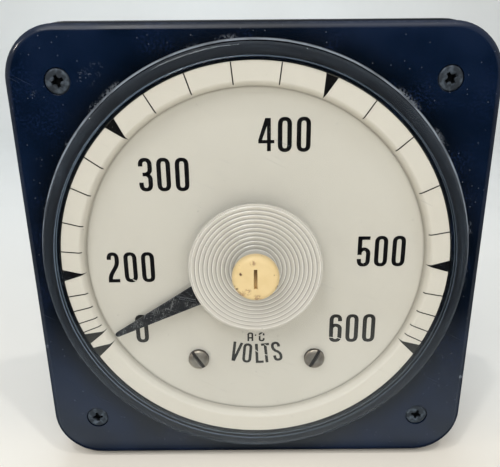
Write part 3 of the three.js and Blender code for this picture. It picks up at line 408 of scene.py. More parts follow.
def nut(name, size, bore, front, x, y, lean, finish, slot, node):
    """A flanged nut with chamfered corners. Its flange faces the case."""
    mesh = bmesh.new()
    flats, height, flange, flange_height = size
    back = front - height
    corner = flats / 2 / math.cos(math.pi / 6)

    def hexagon(limit):
        loop = []
        for i in range(NUT_FACETS):
            a = 2 * math.pi * i / NUT_FACETS
            side = (a + math.pi / 6) % (math.pi / 3) - math.pi / 6
            r = min(limit, flats / 2 / math.cos(side))
            loop.append((r * math.cos(a), r * math.sin(a)))
        return turn(loop, lean, x, y)

    def ring(radius):
        return turn(circle(radius, NUT_FACETS), lean, x, y)

    sections = [
        (ring(bore + 0.25), front),
        (ring(flange - 0.2), front),
        (ring(flange), front - 0.15),
        (ring(flange), front - flange_height + 0.3),
        (ring(flange - 0.25), front - flange_height),
        (ring(corner + 0.1), front - flange_height - 0.05),
        (hexagon(corner), front - flange_height - 0.1),
        (hexagon(corner), back + 0.42),
        (hexagon(corner - 0.3), back + 0.24),
        (hexagon(flats / 2 - 0.05), back),
        (ring(bore + 0.35), back),
        (ring(bore), back + 0.35),
        (ring(bore), front - 0.25),
    ]
    loft(mesh, sections, hollow=True)
    return piece(name, mesh, finish, slot, stands_for=(node,))


def stand(name, data):
    """Put a new object into the scene."""
    made = bpy.data.objects.new(name, data)
    bpy.context.scene.collection.objects.link(made)
    return made


def finished(name, mesh, finish):
    """Put a drawn mesh into the scene in its finish."""
    data = bpy.data.meshes.new(name)
    mesh.to_mesh(data)
    mesh.free()
    data.materials.append(finish)
    return stand(name, data)


def piece(name, mesh, finish, slot, body="root", stands_for=()):
    """Stand a drawn mesh up in the meter, give it its finish and hang it on its body. Flat faces
    keep their own shading up to the small roundings beside them."""
    bmesh.ops.recalc_face_normals(mesh, faces=mesh.faces)
    for face in mesh.faces:
        face.smooth = True
    for edge in mesh.edges:
        edge.smooth = len(edge.link_faces) == 2 and edge.calc_face_angle() < SHARPEST_BEND
    mesh.transform(FACE)
    made = finished(name, mesh, finish)
    flats = made.modifiers.new("flat_faces", "WEIGHTED_NORMAL")
    flats.mode = "FACE_AREA"
    flats.weight = 100
    flats.keep_sharp = True
    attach(made, body)
    if stands_for:
        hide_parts(*stands_for)
    return made


# Finishes. Patterns are laid out in millimetres about the dial axis, so a scale of 1 / 4 repeats
# about every 4 mm.

SMOOTH = {"interpolation_type": "SMOOTHSTEP"}
TIMES = {"operation": "MULTIPLY"}
PLUS = {"operation": "ADD"}
MOST = {"operation": "MAXIMUM"}
BLEND = {"data_type": "RGBA", "output": 2}


def linear(code):
    """The linear colour of an sRGB hex value."""
    shares = [int(code[i : i + 2], 16) / 255 for i in (1, 3, 5)]
    return (*(c / 12.92 if c <= 0.04045 else ((c + 0.055) / 1.055) ** 2.4 for c in shares), 1.0)


def fill(shader, inputs):
    """Set or link the inputs of a node, which are given by name or in their order."""
    named = inputs.items() if isinstance(inputs, dict) else enumerate(inputs)
    for name, value in named:
        socket = shader.inputs[name]
        if isinstance(value, bpy.types.NodeSocket):
            shader.id_data.links.new(value, socket)
        else:
            socket.default_value = value
    return shader


def add(tree, kind, inputs=(), output=0, **settings):
    """Add a node with its settings and links, and give back one of its outputs."""
    made = tree.nodes.new("ShaderNode" + kind)
    for name, value in settings.items():
        setattr(made, name, value)
    return fill(made, inputs).outputs[output]


def blank(name, inputs):
    """A new material, what adds nodes to it, its shader with constant inputs set, and where a
    point lies from the middle of the bezel's plate, in millimetres."""
    made = bpy.data.materials.new(name)
    made.use_nodes = True
    node = partial(add, made.node_tree)
    shader = fill(made.node_tree.nodes["Principled BSDF"], inputs)
    place = {"Vector": node("TexCoord", output="Object"), "Location": (0, -PLATE_Y, -AXIS_Z)}
    return made, node, shader, node("Mapping", {**place, "Scale": (PER_METRE,) * 3})


def axis_radius(node, place):
    """How far a point lies from the dial axis, in millimetres."""
    flat = node("VectorMath", [place, (1, 0, 1)], **TIMES)
    return node("VectorMath", [flat], 1, operation="LENGTH")


def dust(node, place, spacing, size, share):
    """Specks, one to each cell at most, where share of the cells have one."""
    off = node("TexVoronoi", {"Vector": place, "Scale": 1 / spacing})
    lot = node("SeparateColor", [off.node.outputs["Color"]])
    near = node("MapRange", [off, size / spacing, 0.4 * size / spacing], **SMOOTH)
    return node("Math", [near, node("MapRange", [lot, 1 - share, 1 - 0.9 * share], **SMOOTH)], **TIMES)


def crumbs(node, place, size, patch, thin):
    """Loose grit of one size that lies in patches. The thinner, the fewer patches."""
    grit = node("TexNoise", {"Vector": place, "Scale": 1 / size, "Detail": 3.0})
    where = node("TexNoise", {"Vector": place, "Scale": 1 / patch, "Detail": 2.0})
    fine = node("MapRange", [grit, 0.48, 0.62], **SMOOTH)
    return node("Math", [fine, node("MapRange", [where, thin, thin + 0.12], **SMOOTH)], **TIMES)


def blots(node, place, spots):
    """Ragged spots at set places. Each is x, y and how far it reaches, in millimetres."""
    flat = node("VectorMath", [place, (1, 0, 1)], **TIMES)
    found = 0.0
    for x, y, size in spots:
        off = node("VectorMath", [flat, (x, 0, y)], 1, operation="DISTANCE")
        found = node("Math", [found, node("MapRange", [off, size, 0.3 * size], **SMOOTH)], **MOST)
    ragged = node("TexNoise", {"Vector": place, "Scale": 1 / 0.6, "Detail": 3.0})
    return node("Math", [found, node("MapRange", [ragged, 0.4, 0.6], **SMOOTH)], **TIMES)


def scratches(node, place, degrees, length, width, rare):
    """Fine straight scratches that lie one way: the crests of a noise drawn out along them. The
    nearer rare comes to 1, the fewer there are."""
    drawn = {"Rotation": (0, math.radians(degrees), 0), "Scale": (length, length, width)}
    along = node("Mapping", {"Vector": place, **drawn}, vector_type="TEXTURE")
    field = node("TexNoise", {"Vector": along, "Scale": 1.0, "Detail": 0.0})
    return node("MapRange", [field, rare, rare + 0.06], **SMOOTH)


def round_streaks(node, place, radius, length, width):
    """A noise drawn out along circles about the dial axis, from 0 to 1."""
    way = node("VectorMath", [node("VectorMath", [place, (1, 0, 1)], **TIMES)], operation="NORMALIZE")
    way = node("VectorMath", [way, (50 / length,) * 3], **TIMES)
    out = node("CombineXYZ", {"Y": node("Math", [radius, width], operation="DIVIDE")})
    spot = node("VectorMath", [way, out], **PLUS)
    return node("TexNoise", {"Vector": spot, "Scale": 1.0, "Detail": 2.0})


# Where a cloth left dust on the bezel's plate: x, y and reach
WIPED_SPOTS = ((-36.6, 43.6, 2.6), (-34.2, 45.2, 2.2), (-48.2, 40.5, 1.2), (-49.4, 25.5, 1.6))
# Where scrapings lie along the window's groove
GROOVE_SPOTS = (
    (-31.3, 40.8, 3.6), (-5.5, 51.2, 2.6), (33.0, 39.4, 3.0), (35.0, 37.4, 2.6), (41.3, 30.6, 2.4),
)
# Small chips on the bezel's left and right edges
EDGE_CHIPS = ((-53.9, -21.5, 0.8), (53.6, -31.3, 0.7))


def polished_phenolic():
    """Compression-moulded black phenolic with the mould's polish, long in a switchroom: a
    navy-black gloss, bluer towards the corners, with dusty smears, scratches, edges rubbed
    grey, crumbs beside the window's groove, and a painted highlight along the groove's outer
    edge, broken by streaks.
    Its grit, dust and scratches are drawn coarser than they are, so that they show."""
    made, node, shader, place = blank("polished_phenolic", {"IOR": 1.58})
    radius = axis_radius(node, place)
    rim, side = GROOVE_OUTER, BEZEL_SIDE / 2
    clouds = node("TexNoise", {"Vector": place, "Scale": 1 / 22, "Detail": 4.0})
    grit = node("TexNoise", {"Vector": place, "Scale": 1 / 0.7, "Detail": 5.0})
    cloudy = node("MapRange", [clouds, 0.36, 0.62, 0.45, 1.0], **SMOOTH)
    outward = node("MapRange", [radius, rim - 0.4, rim + 7.6, 0.08, 1.0], **SMOOTH)
    bluer = node("Math", [cloudy, outward], **TIMES)
    ground = node("Mix", {0: bluer, 6: linear("#02060c"), 7: linear("#081830")}, **BLEND)
    smears = crumbs(node, place, 0.5, 14.0, 0.52)
    ground = node("Mix", {0: smears, 6: ground, 7: linear("#0d1a33")}, **BLEND)
    wiped, lint = blots(node, place, WIPED_SPOTS), crumbs(node, place, 0.35, 2.0, 0.45)
    wiped = node("Math", [node("Math", [wiped, lint], **TIMES), 0.22], **TIMES)
    outside = node("MapRange", [radius, rim, rim + 0.15], **SMOOTH)
    beside = node("MapRange", [radius, rim + 1.7, rim + 0.4], **SMOOTH)
    beside = node("Math", [outside, beside], **TIMES)
    loose, heaps = crumbs(node, place, 0.45, 8.0, 0.56), blots(node, place, GROOVE_SPOTS)
    loose = node("Math", [beside, node("Math", [loose, heaps], **MOST)], **TIMES)
    # Painted highlight: a thin pale ring just outside the groove, broken by streaks
    line = node("MapRange", [radius, rim + 0.6, rim + 0.3], **SMOOTH)
    line = node("Math", [outside, line], **TIMES)
    streaks = round_streaks(node, place, radius, 5.0, 0.6)
    worn = node("MapRange", [streaks, 0.3, 0.6, 0.3, 0.8], **SMOOTH)
    # The crumbs beside the groove, together with the painted highlight ring
    crumbs_and_highlight = node("Math", [loose, 0.36], **TIMES)
    crumbs_and_highlight = node("Math", [crumbs_and_highlight, node("Math", [line, worn], **TIMES)], **MOST)
    sides = node("SeparateXYZ", [node("VectorMath", [place], operation="ABSOLUTE")])
    reach = node("Math", [sides, sides.node.outputs["Z"]], **MOST)
    edge = node("MapRange", [reach, side - 0.75, side - 0.25, 0.0, 0.06], **SMOOTH)
    handled = node("MapRange", [reach, side - 1.75, side - 1.05, 0.0, 0.3], **SMOOTH)
    rubbed = node("Math", [edge, node("MapRange", [grit, 0.42, 0.66], **SMOOTH)], **TIMES)
    fine = node("Math", [scratches(node, place, 28, 12, 0.25, 0.8), 0.05], **TIMES)
    specks = node("Math", [dust(node, place, 1.3, 0.16, 0.5), 0.22], **TIMES)
    chips = node("Math", [blots(node, place, EDGE_CHIPS), 0.8], **TIMES)
    marks = wiped
    for kind in (crumbs_and_highlight, rubbed, fine, specks, chips):
        marks = node("Math", [marks, kind], **MOST)
    # One pale grey for the dust, scratches, wear and the painted highlight ring
    colour = node("Mix", {0: marks, 6: ground, 7: linear("#8d97a3")}, **BLEND)
    haze = node("MapRange", [clouds, 0.35, 0.65, 0.1, 0.22], **SMOOTH)
    dull = node("Math", [node("Math", [haze, marks], **PLUS), handled], **PLUS)
    relief = node("Bump", {"Strength": 0.06, "Distance": 0.08 * MILLIMETRE, "Height": grit})
    fill(shader, {"Base Color": colour, "Roughness": dull, "Normal": relief})
    return made


def matt_phenolic():
    """Moulded black phenolic that was left as it came from the mould: a soft sheen with faint
    flow marks, grey dust in its grain and more of it lying on whatever faces up. The grain is
    drawn 0.5 mm wide, coarser than it is, so that it shows."""
    made, node, shader, place = blank("matt_phenolic", {"IOR": 1.58})
    flow = node("TexNoise", {"Vector": place, "Scale": 1 / 34, "Detail": 3.0})
    grain = node("TexNoise", {"Vector": place, "Scale": 1 / 0.5, "Detail": 5.0})
    specks = node("Math", [dust(node, place, 2.6, 0.35, 0.3), 0.3], **TIMES)
    upward = node("SeparateXYZ", [node("TexCoord", output="Normal")], "Z")
    settled = node("MapRange", [upward, 0.4, 1.0, 0.0, 0.26], **SMOOTH)
    lying = node("Math", [settled, node("MapRange", [flow, 0.3, 0.7, 0.5, 1.0], **SMOOTH)], **TIMES)
    grey = node("Math", [specks, lying], **MOST)
    ground = node("Mix", {0: flow, 6: linear("#0e1218"), 7: linear("#191e27")}, **BLEND)
    colour = node("Mix", {0: grey, 6: ground, 7: linear("#8e9093")}, **BLEND)
    sheen = node("MapRange", [flow, 0.3, 0.7, 0.38, 0.48], **SMOOTH)
    relief = node("Bump", {"Strength": 0.25, "Distance": 0.06 * MILLIMETRE, "Height": grain})
    fill(shader, {"Base Color": colour, "Roughness": sheen, "Normal": relief})
    return made


# The window's turned corner: the radii where its painted highlight starts, is full, fades and ends
CORNER_HIGHLIGHT_RADII = (47.6, 47.72, 47.83, 47.95)
SCUFFED_FROM = 47.9


def clear_acrylic():
    """Cast acrylic, turned and polished: clear, with a scuffed rim that begins at a turned corner
    with a painted highlight, stronger towards the lower left, and a few hairlines. Light passes
    straight through it to the dial, as it does through a thin polished sheet. The hairlines are
    drawn 0.2 mm wide so that they show."""
    glass = {"Transmission Weight": 1.0, "IOR": 1.49, "Base Color": linear("#fbfbfa")}
    made, node, shader, place = blank("clear_acrylic", glass)
    radius = axis_radius(node, place)
    smear = node("TexNoise", {"Vector": place, "Scale": 1 / 9, "Detail": 3.0})
    fill(shader, {"Roughness": node("MapRange", [smear, 0.5, 0.8, 0.0, 0.03], **SMOOTH)})
    shadow = node("LightPath", output="Is Shadow Ray")
    through = node("Math", [shadow, shadow.node.outputs["Is Diffuse Ray"]], **MOST)
    clear = node("BsdfTransparent", {"Color": linear("#fbfbfa")})
    lens = node("MixShader", [through, shader.outputs[0], clear])
    streaks = round_streaks(node, place, radius, 9.0, 0.18)
    worn = node("MapRange", [streaks, 0.5, 0.7, 0.35, 1.0], **SMOOTH)
    worn = node("Math", [worn, crumbs(node, place, 0.4, 6.0, 0.55)], **MOST)
    rounding_from = WINDOW_RADIUS - WINDOW_ROUND
    rim = node("MapRange", [radius, SCUFFED_FROM, rounding_from, 0.025, 0.1], **SMOOTH)
    rim = node("Math", [worn, rim], **TIMES)
    scuffed = node("MapRange", [radius, SCUFFED_FROM, SCUFFED_FROM + 0.1], **SMOOTH)
    rim = node("Math", [rim, scuffed], **TIMES)
    sides = node("SeparateXYZ", [place])
    sides = node("Math", [sides, sides.node.outputs["Z"]], **PLUS)
    # Painted highlight on the turned corner, stronger towards the lower left
    highlight_share = node("MapRange", [sides, 60.0, -60.0, 0.14, 0.4])
    start, full, fading, end = CORNER_HIGHLIGHT_RADII
    corner = node("Math", [highlight_share, node("MapRange", [radius, start, full], **SMOOTH)], **TIMES)
    corner = node("Math", [corner, node("MapRange", [radius, end, fading], **SMOOTH)], **TIMES)
    fine = node("Math", [scratches(node, place, 24, 12, 0.2, 0.79), 0.12], **TIMES)
    specks = node("Math", [dust(node, place, 3.1, 0.22, 0.3), 0.22], **TIMES)
    marks = rim
    for kind in (corner, fine, specks):
        marks = node("Math", [marks, kind], **MOST)
    # One grey-blue for the scuffs, hairlines, specks and the painted highlight
    scuffs_and_highlight = node("BsdfDiffuse", {"Color": linear("#8fa3b8"), "Roughness": 0.6})
    seen = node("MixShader", [marks, lens, scuffs_and_highlight])
    made.node_tree.links.new(seen, made.node_tree.nodes["Material Output"].inputs["Surface"])
    return made


def frosted_acrylic():
    """Moulded acrylic with a frosted back: it glows milky grey-white and hides what lies behind.
    Its polished ridges carry a painted highlight along each crest and painted shade with specks
    in the grooves between them, and painted shade darkens it towards the zero screw."""
    body = {"IOR": 1.49, "Coat Weight": 1.0, "Coat Roughness": 0.03, "Coat IOR": 1.6}
    milk = {"Weight": 0.3, "Scale": 0.8 * MILLIMETRE, "Radius": (1.0, 0.95, 0.85)}
    body.update({"Subsurface " + name: value for name, value in milk.items()})
    made, node, shader, place = blank("frosted_acrylic", body)
    radius = axis_radius(node, place)
    mist = node("TexNoise", {"Vector": place, "Scale": 1 / 5, "Detail": 4.0})
    # Painted shade: the ground is darker towards the zero screw
    toward = node("MapRange", [radius, 5.0, 15.0], **SMOOTH)
    ground = node("Mix", {0: toward, 6: linear("#aeaca4"), 7: linear("#c6c3bb")}, **BLEND)
    ground = node("Mix", {0: mist, 6: ground, 7: linear("#bebbb2")}, **BLEND)
    turn_in = node("Math", [radius, RIDGE_OUTERMOST], operation="SUBTRACT")
    turn_in = node("Math", [turn_in, RIDGE_PITCH], operation="FLOORED_MODULO")
    # Painted shade in the groove outside each crest
    groove_shade = node("MapRange", [turn_in, 0.05, 0.2, 0.0, 0.35], **SMOOTH)
    groove_shade = node("Math", [groove_shade, node("MapRange", [turn_in, 0.5, 0.24], **SMOOTH)], **TIMES)
    # Painted highlight: a bright ring just inside each crest
    crest = node("MapRange", [turn_in, 0.84 * RIDGE_PITCH, 0.94 * RIDGE_PITCH, 0.0, 0.7], **SMOOTH)
    ridged = node("MapRange", [radius, RIDGE_OUTERMOST + 0.18, RIDGE_OUTERMOST - 0.02], **SMOOTH)
    crest = node("Math", [crest, ridged], **TIMES)
    ground = node("Mix", {0: crest, 6: ground, 7: linear("#e6e4dd")}, **BLEND)
    specks_and_shade = node("Math", [groove_shade, ridged], **TIMES)
    specks = node("Math", [dust(node, place, 1.9, 0.22, 0.25), 0.3], **TIMES)
    specks_and_shade = node("Math", [specks_and_shade, specks], **MOST)
    colour = node("Mix", {0: specks_and_shade, 6: ground, 7: linear("#5f5d57")}, **BLEND)
    gloss = node("MapRange", [mist, 0.3, 0.7, 0.3, 0.45], **SMOOTH)
    fill(shader, {"Base Color": colour, "Roughness": gloss})
    return made


# Old knocks and stains on the zero screw: x, y and reach
KNOB_SPOTS = ((-3.4, 1.3, 0.55), (4.4, 1.0, 0.4), (-4.6, -2.2, 0.8), (4.9, -2.1, 0.6))
KNOB_STAINS = ((-3.5, -3.8, 1.5), (-1.8, -3.0, 1.1), (0.4, -4.6, 1.3), (-0.6, 3.9, 0.9))


def cream_moulding():
    """Cream urea moulding, handled with a screwdriver for decades: yellowed, with brown knocks,
    stains towards its lower edge and dirt packed in its slot, with painted shade that deepens
    towards the slot's upper end."""
    made, node, shader, place = blank("cream_moulding", {"IOR": 1.54})
    age = node("TexNoise", {"Vector": place, "Scale": 1 / 3, "Detail": 5.0})
    ground = node("Mix", {0: age, 6: linear("#cbb17e"), 7: linear("#dbc594")}, **BLEND)
    stained = node("Math", [blots(node, place, KNOB_STAINS), 0.75], **TIMES)
    ground = node("Mix", {0: stained, 6: ground, 7: linear("#8c674c")}, **BLEND)
    knocks = node("Math", [blots(node, place, KNOB_SPOTS), dust(node, place, 1.7, 0.22, 0.25)], **MOST)
    spotted = node("Mix", {0: knocks, 6: ground, 7: linear("#5e3f2e")}, **BLEND)
    depth = node("SeparateXYZ", [place], "Y")
    packed = node("MapRange", [depth, 0.2 - KNOB_FRONT, 0.6 - KNOB_FRONT], **SMOOTH)
    end = KNOB_SLOT_LENGTH / 2
    inside = node("MapRange", [axis_radius(node, place), end + 0.55, end + 0.25], **SMOOTH)
    packed = node("Math", [packed, inside], **TIMES)
    # Painted shade: the slot's dirt darkens towards its upper end
    high = node("MapRange", [node("SeparateXYZ", [place], "Z"), -1.8, 1.6], **SMOOTH)
    dirt = node("Mix", {0: high, 6: linear("#c0a06a"), 7: linear("#806230")}, **BLEND)
    colour = node("Mix", {0: packed, 6: spotted, 7: dirt}, **BLEND)
    gloss = node("MapRange", [age, 0.3, 0.7, 0.32, 0.5], **SMOOTH)
    relief = node("Bump", {"Strength": 0.2, "Distance": 0.05 * MILLIMETRE, "Height": age})
    fill(shader, {"Base Color": colour, "Roughness": gloss, "Normal": relief})
    return made


def dial_lacquer(name, fresh, aged):
    """Sprayed cellulose lacquer on sheet metal, under the window since it was printed: an even
    matt cream with slow yellowing, a few specks, and painted shade in the corner at the ring's foot.
    The spray's grain is drawn 2.2 mm wide, far coarser than it is, so that it shows."""
    made, node, shader, place = blank(name, {"Specular IOR Level": 0.35})
    radius = axis_radius(node, place)
    slow = node("TexNoise", {"Vector": place, "Scale": 1 / 24, "Detail": 3.0})
    spray = node("TexNoise", {"Vector": place, "Scale": 1 / 2.2, "Detail": 1.0})
    specks = node("Math", [dust(node, place, 4.5, 0.22, 0.22), 0.4], **TIMES)
    # Painted shade: a dark band in the corner at the ring's foot, in the same grey-brown as the specks
    corner = node("MapRange", [radius, RING_FOOT + 0.4, RING_FOOT, 0.0, 0.4], **SMOOTH)
    inner = node("MapRange", [radius, RING_FOOT - 0.5, RING_FOOT], **SMOOTH)
    specks_and_shade = node("Math", [specks, node("Math", [corner, inner], **TIMES)], **MOST)
    ground = node("Mix", {0: slow, 6: linear(fresh), 7: linear(aged)}, **BLEND)
    colour = node("Mix", {0: specks_and_shade, 6: ground, 7: linear("#7d7668")}, **BLEND)
    matt = node("MapRange", [spray, 0.3, 0.7, 0.52, 0.6], **SMOOTH)
    relief = node("Bump", {"Strength": 0.02, "Distance": 0.03 * MILLIMETRE, "Height": spray})
    fill(shader, {"Base Color": colour, "Roughness": matt, "Normal": relief})
    return made


def printing_ink():
    """Black ink laid through a screen: dense and matt, a little uneven where it ran thin, with
    the pinholes that a screen leaves, and greyer towards the dial's lower part."""
    made, node, shader, place = blank("printing_ink", {"Specular IOR Level": 0.15})
    tone = node("TexNoise", {"Vector": place, "Scale": 1 / 2, "Detail": 4.0})
    ground = node("Mix", {0: tone, 6: linear("#010102"), 7: linear("#0a0a0c")}, **BLEND)
    # Greyer towards the dial's lower part
    greyer_below = node("MapRange", [node("SeparateXYZ", [place], "Z"), -2.0, -20.0], **SMOOTH)
    ground = node("Mix", {0: greyer_below, 6: ground, 7: linear("#2f2f2c")}, **BLEND)
    pinholes = node("Math", [dust(node, place, 0.9, 0.12, 0.3), 0.3], **TIMES)
    colour = node("Mix", {0: pinholes, 6: ground, 7: linear("#b9b4a8")}, **BLEND)
    matt = node("MapRange", [tone, 0.3, 0.7, 0.5, 0.62], **SMOOTH)
    fill(shader, {"Base Color": colour, "Roughness": matt})
    return made


def pointer_black():
    """Matt black stoving enamel on aluminium strip: dusty, with grey hairlines two ways, which
    are drawn 0.2 mm wide so that they show."""
    made, node, shader, place = blank("pointer_black", {"Specular IOR Level": 0.4})
    tone = node("TexNoise", {"Vector": place, "Scale": 1 / 3, "Detail": 5.0})
    specks, lint = dust(node, place, 0.8, 0.2, 0.5), crumbs(node, place, 0.35, 4.0, 0.5)
    specks = node("Math", [node("Math", [specks, lint], **MOST), 0.4], **TIMES)
    fine = [scratches(node, place, *way) for way in ((-70, 3, 0.2, 0.68), (20, 3, 0.2, 0.7))]
    fine = node("Math", [node("Math", fine, **MOST), 0.3], **TIMES)
    marks = node("Math", [specks, fine], **MOST)
    ground = node("Mix", {0: tone, 6: linear("#0e1014"), 7: linear("#1f2227")}, **BLEND)
    colour = node("Mix", {0: marks, 6: ground, 7: linear("#a3a6a8")}, **BLEND)
    sheen = node("MapRange", [tone, 0.3, 0.7, 0.42, 0.6], **SMOOTH)
    relief = node("Bump", {"Strength": 0.2, "Distance": 0.03 * MILLIMETRE, "Height": tone})
    fill(shader, {"Base Color": colour, "Roughness": sheen, "Normal": relief})
    return made


def aged_metal(name, bright, dull, grain_size, gloss, streak=(1.0, 1.0, 1.0), darker_from=None):
    """A metal surface with its working marks: a bright tone that dulls in clouds, a grain of one
    size that may be drawn out one way, roughness that follows both, and a dark brown on what
    lies deeper than a set distance behind the bezel's plate. The grain is coarser than the
    marks of a lathe or a roller, so that it shows."""
    made, node, shader, place = blank(name, {"Metallic": 1.0})
    along = node("Mapping", {"Vector": place, "Scale": streak})
    clouds = node("TexNoise", {"Vector": place, "Scale": 1 / 4, "Detail": 5.0})
    grain = node("TexNoise", {"Vector": along, "Scale": 1 / grain_size, "Detail": 3.0})
    worn = node("MapRange", [clouds, 0.38, 0.62], **SMOOTH)
    tone = node("Mix", {0: worn, 6: linear(bright), 7: linear(dull)}, **BLEND)
    # A dark brown on what lies deeper than the given depth
    if darker_from is not None:
        depth = node("SeparateXYZ", [place], "Y")
        deep = node("MapRange", [depth, darker_from - 0.2, darker_from], **SMOOTH)
        tone = node("Mix", {0: deep, 6: tone, 7: linear("#483e36")}, **BLEND)
    shade = node("MapRange", [grain, 0.35, 0.65, gloss - 0.08, gloss + 0.12], **SMOOTH)
    relief = node("Bump", {"Strength": 0.2, "Distance": 0.03 * MILLIMETRE, "Height": grain})
    fill(shader, {"Base Color": tone, "Roughness": shade, "Normal": relief})
    return made


def blackened_steel():
    """Chemically blackened steel screws: black in the cross, and a dusty grey on the crown where
    screwdrivers rubbed it in patches."""
    made, node, shader, place = blank("blackened_steel", {"Metallic": 0.6})
    clouds = node("TexNoise", {"Vector": place, "Scale": 1 / 1.6, "Detail": 5.0})
    depth = node("SeparateXYZ", [place], "Y")
    crown = node("MapRange", [depth, 0.55 - COVER_SCREW_FRONT, 0.1 - COVER_SCREW_FRONT], **SMOOTH)
    rubbed = node("MapRange", [clouds, 0.44, 0.66, 0.3, 1.0], **SMOOTH)
    share = node("Math", [crown, rubbed], **TIMES)
    colour = node("Mix", {0: share, 6: linear("#070a0e"), 7: linear("#5f6974")}, **BLEND)
    shade = node("MapRange", [clouds, 0.3, 0.7, 0.6, 0.45], **SMOOTH)
    relief = node("Bump", {"Strength": 0.3, "Distance": 0.04 * MILLIMETRE, "Height": clouds})
    fill(shader, {"Base Color": colour, "Roughness": shade, "Normal": relief})
    return made


def wound_copper():
    """Enamelled copper wire in even layers: a dark orange-brown with one fine rib per turn of
    wire, and painted shade between the turns. The ribs are drawn 0.5 mm apart, coarser than the wire,
    so that they show."""
    made, node, shader, place = blank("wound_copper", {"Metallic": 0.7})
    ribs = {"Vector": place, "Scale": math.pi / 10 / 0.5}
    turns = node("TexWave", ribs, "Fac", bands_direction="Y")
    tone = node("TexNoise", {"Vector": place, "Scale": 1 / 3, "Detail": 3.0})
    copper = node("Mix", {0: tone, 6: linear("#7d3517"), 7: linear("#a4552b")}, **BLEND)
    # Painted shade: dark between the turns
    crest = node("MapRange", [turns, 0.0, 0.4], **SMOOTH)
    colour = node("Mix", {0: crest, 6: linear("#3d1709"), 7: copper}, **BLEND)
    relief = node("Bump", {"Strength": 0.8, "Distance": 0.1 * MILLIMETRE, "Height": turns})
    gloss = node("MapRange", [tone, 0.3, 0.7, 0.28, 0.42], **SMOOTH)
    fill(shader, {"Base Color": colour, "Roughness": gloss, "Normal": relief})
    return made


def moulded(name, pale, dark, grain_size, gloss, depth_of_grain):
    """A moulded or sleeved insulating part: an even colour with slow mottling and a fine skin,
    whose grain is drawn as coarse as it has to be to show."""
    made, node, shader, place = blank(name, {"IOR": 1.5})
    slow = node("TexNoise", {"Vector": place, "Scale": 1 / 6, "Detail": 4.0})
    grain = node("TexNoise", {"Vector": place, "Scale": 1 / grain_size, "Detail": 2.0})
    specks = node("Math", [dust(node, place, 2.0, 0.25, 0.25), 0.25], **TIMES)
    ground = node("Mix", {0: slow, 6: linear(pale), 7: linear(dark)}, **BLEND)
    colour = node("Mix", {0: specks, 6: ground, 7: linear("#6f6b62")}, **BLEND)
    shade = node("MapRange", [grain, 0.3, 0.7, gloss - 0.06, gloss + 0.08], **SMOOTH)
    skin = {"Strength": 0.5, "Distance": depth_of_grain * MILLIMETRE, "Height": grain}
    fill(shader, {"Base Color": colour, "Roughness": shade, "Normal": node("Bump", skin)})
    return made


bezel_black = polished_phenolic()
case_black = matt_phenolic()
window_clear = clear_acrylic()
boss_frost = frosted_acrylic()
knob_cream = cream_moulding()
disc_paint = dial_lacquer("dial_lacquer", "#cccac2", "#c5c2b9")
ring_paint = dial_lacquer("scale_ring_lacquer", "#d3d0c7", "#cdc9bf")
ink = printing_ink()
pointer_paint = pointer_black()
screw_black = blackened_steel()
# Nickel plate on brass: warm grey, dulled and slightly brown.
nickel = aged_metal("nickel_plate", "#a39c90", "#857c6f", 0.5, 0.3)
# The same nickel on the dial screws, paler and duller, and dark brown deep in the slot.
DIAL_SLOT_FLOOR = DIAL_FLOOR + SEAT + DIAL_SCREW_HEIGHT - DIAL_SCREW_SLOT_DEPTH
nickel_head = aged_metal("nickel_head", "#c4bcae", "#a0968a", 1.2, 0.5, darker_from=-DIAL_SLOT_FLOOR)
# Turned brass: fine rings from the lathe, tarnished brown in patches.
brass = aged_metal("turned_brass", "#c6a562", "#8d6d3a", 0.35, 0.32, (1, 6, 1))
# Zinc-plated steel: a cool grey with a faint spangle.
zinc = aged_metal("zinc_plated_steel", "#a3a6a8", "#7b7e81", 0.8, 0.36)
# Rolled aluminium sheet: bright and grained along its rolling.
aluminium = aged_metal("rolled_aluminium", "#c3c6c8", "#9fa2a5", 0.3, 0.3, (8, 1, 1))
# Phosphor bronze strip: springy, reddish gold and smooth.
bronze = aged_metal("phosphor_bronze", "#b8834c", "#94633a", 0.4, 0.28)
# Soft iron and cast magnet alloy: dark grey with a coarse, oxidised skin.
iron = aged_metal("oxidised_iron", "#54585d", "#33363b", 0.7, 0.5)
copper = wound_copper()
# Moulded amber phenolic of the coil's bobbin: translucent brown with slow swirls.
amber = moulded("amber_phenolic", "#b58a4e", "#8a5f2c", 0.6, 0.38, 0.05)
# Vitreous enamel fired over a ceramic rod: glossy dark green with an orange-peel skin.
enamel = moulded("vitreous_enamel", "#5f6f52", "#47553e", 1.2, 0.22, 0.12)
# Black paint on the back of the window's rim: dull and even.
rim_black = moulded("rim_blacking", "#05070b", "#0a0e15", 0.5, 0.45, 0.03)
# Cut sheet rubber: dull black with a dusty grain.
rubber = moulded("sheet_rubber", "#1d1d1d", "#2a2a29", 0.4, 0.82, 0.1)
# Varnished glass-fibre sleeving on the leads: a woven, slightly glossy skin.
red_sleeve = moulded("red_sleeving", "#a02c22", "#7c2019", 0.45, 0.45, 0.12)
white_sleeve = moulded("white_sleeving", "#d9d4c5", "#bfb8a4", 0.45, 0.45, 0.12)

CAD_FINISHES = {
    rubber: ("window_gasket",),
    iron: ("moving_iron", "fixed_iron", "damping_magnet"),
    nickel: (
        "balance_nut_1", "balance_nut_2", "movement_screw_1", "movement_screw_2",
        "movement_screw_3", "solder_tag_1", "solder_tag_2",
    ),
    brass: (
        "pointer_hub", "zero_lever", "adjuster_drive", "front_jewel", "rear_jewel",
        "front_bridge", "rear_bridge", "pillar_nut_1", "pillar_nut_2",
    ),
    zinc: ("spindle", "resistor_bracket"),
    aluminium: ("damping_disc", "movement_plate"),
    bronze: ("hairspring",),
    amber: ("coil_bobbin",),
    copper: ("coil_winding",),
    enamel: ("series_resistor",),
    red_sleeve: ("supply_lead",),
    white_sleeve: ("resistor_lead", "return_lead"),
}
for finish, names in CAD_FINISHES.items():
    for name in names:
        for slot in nodes[name].material_slots:
            slot.material = finish


# Bezel


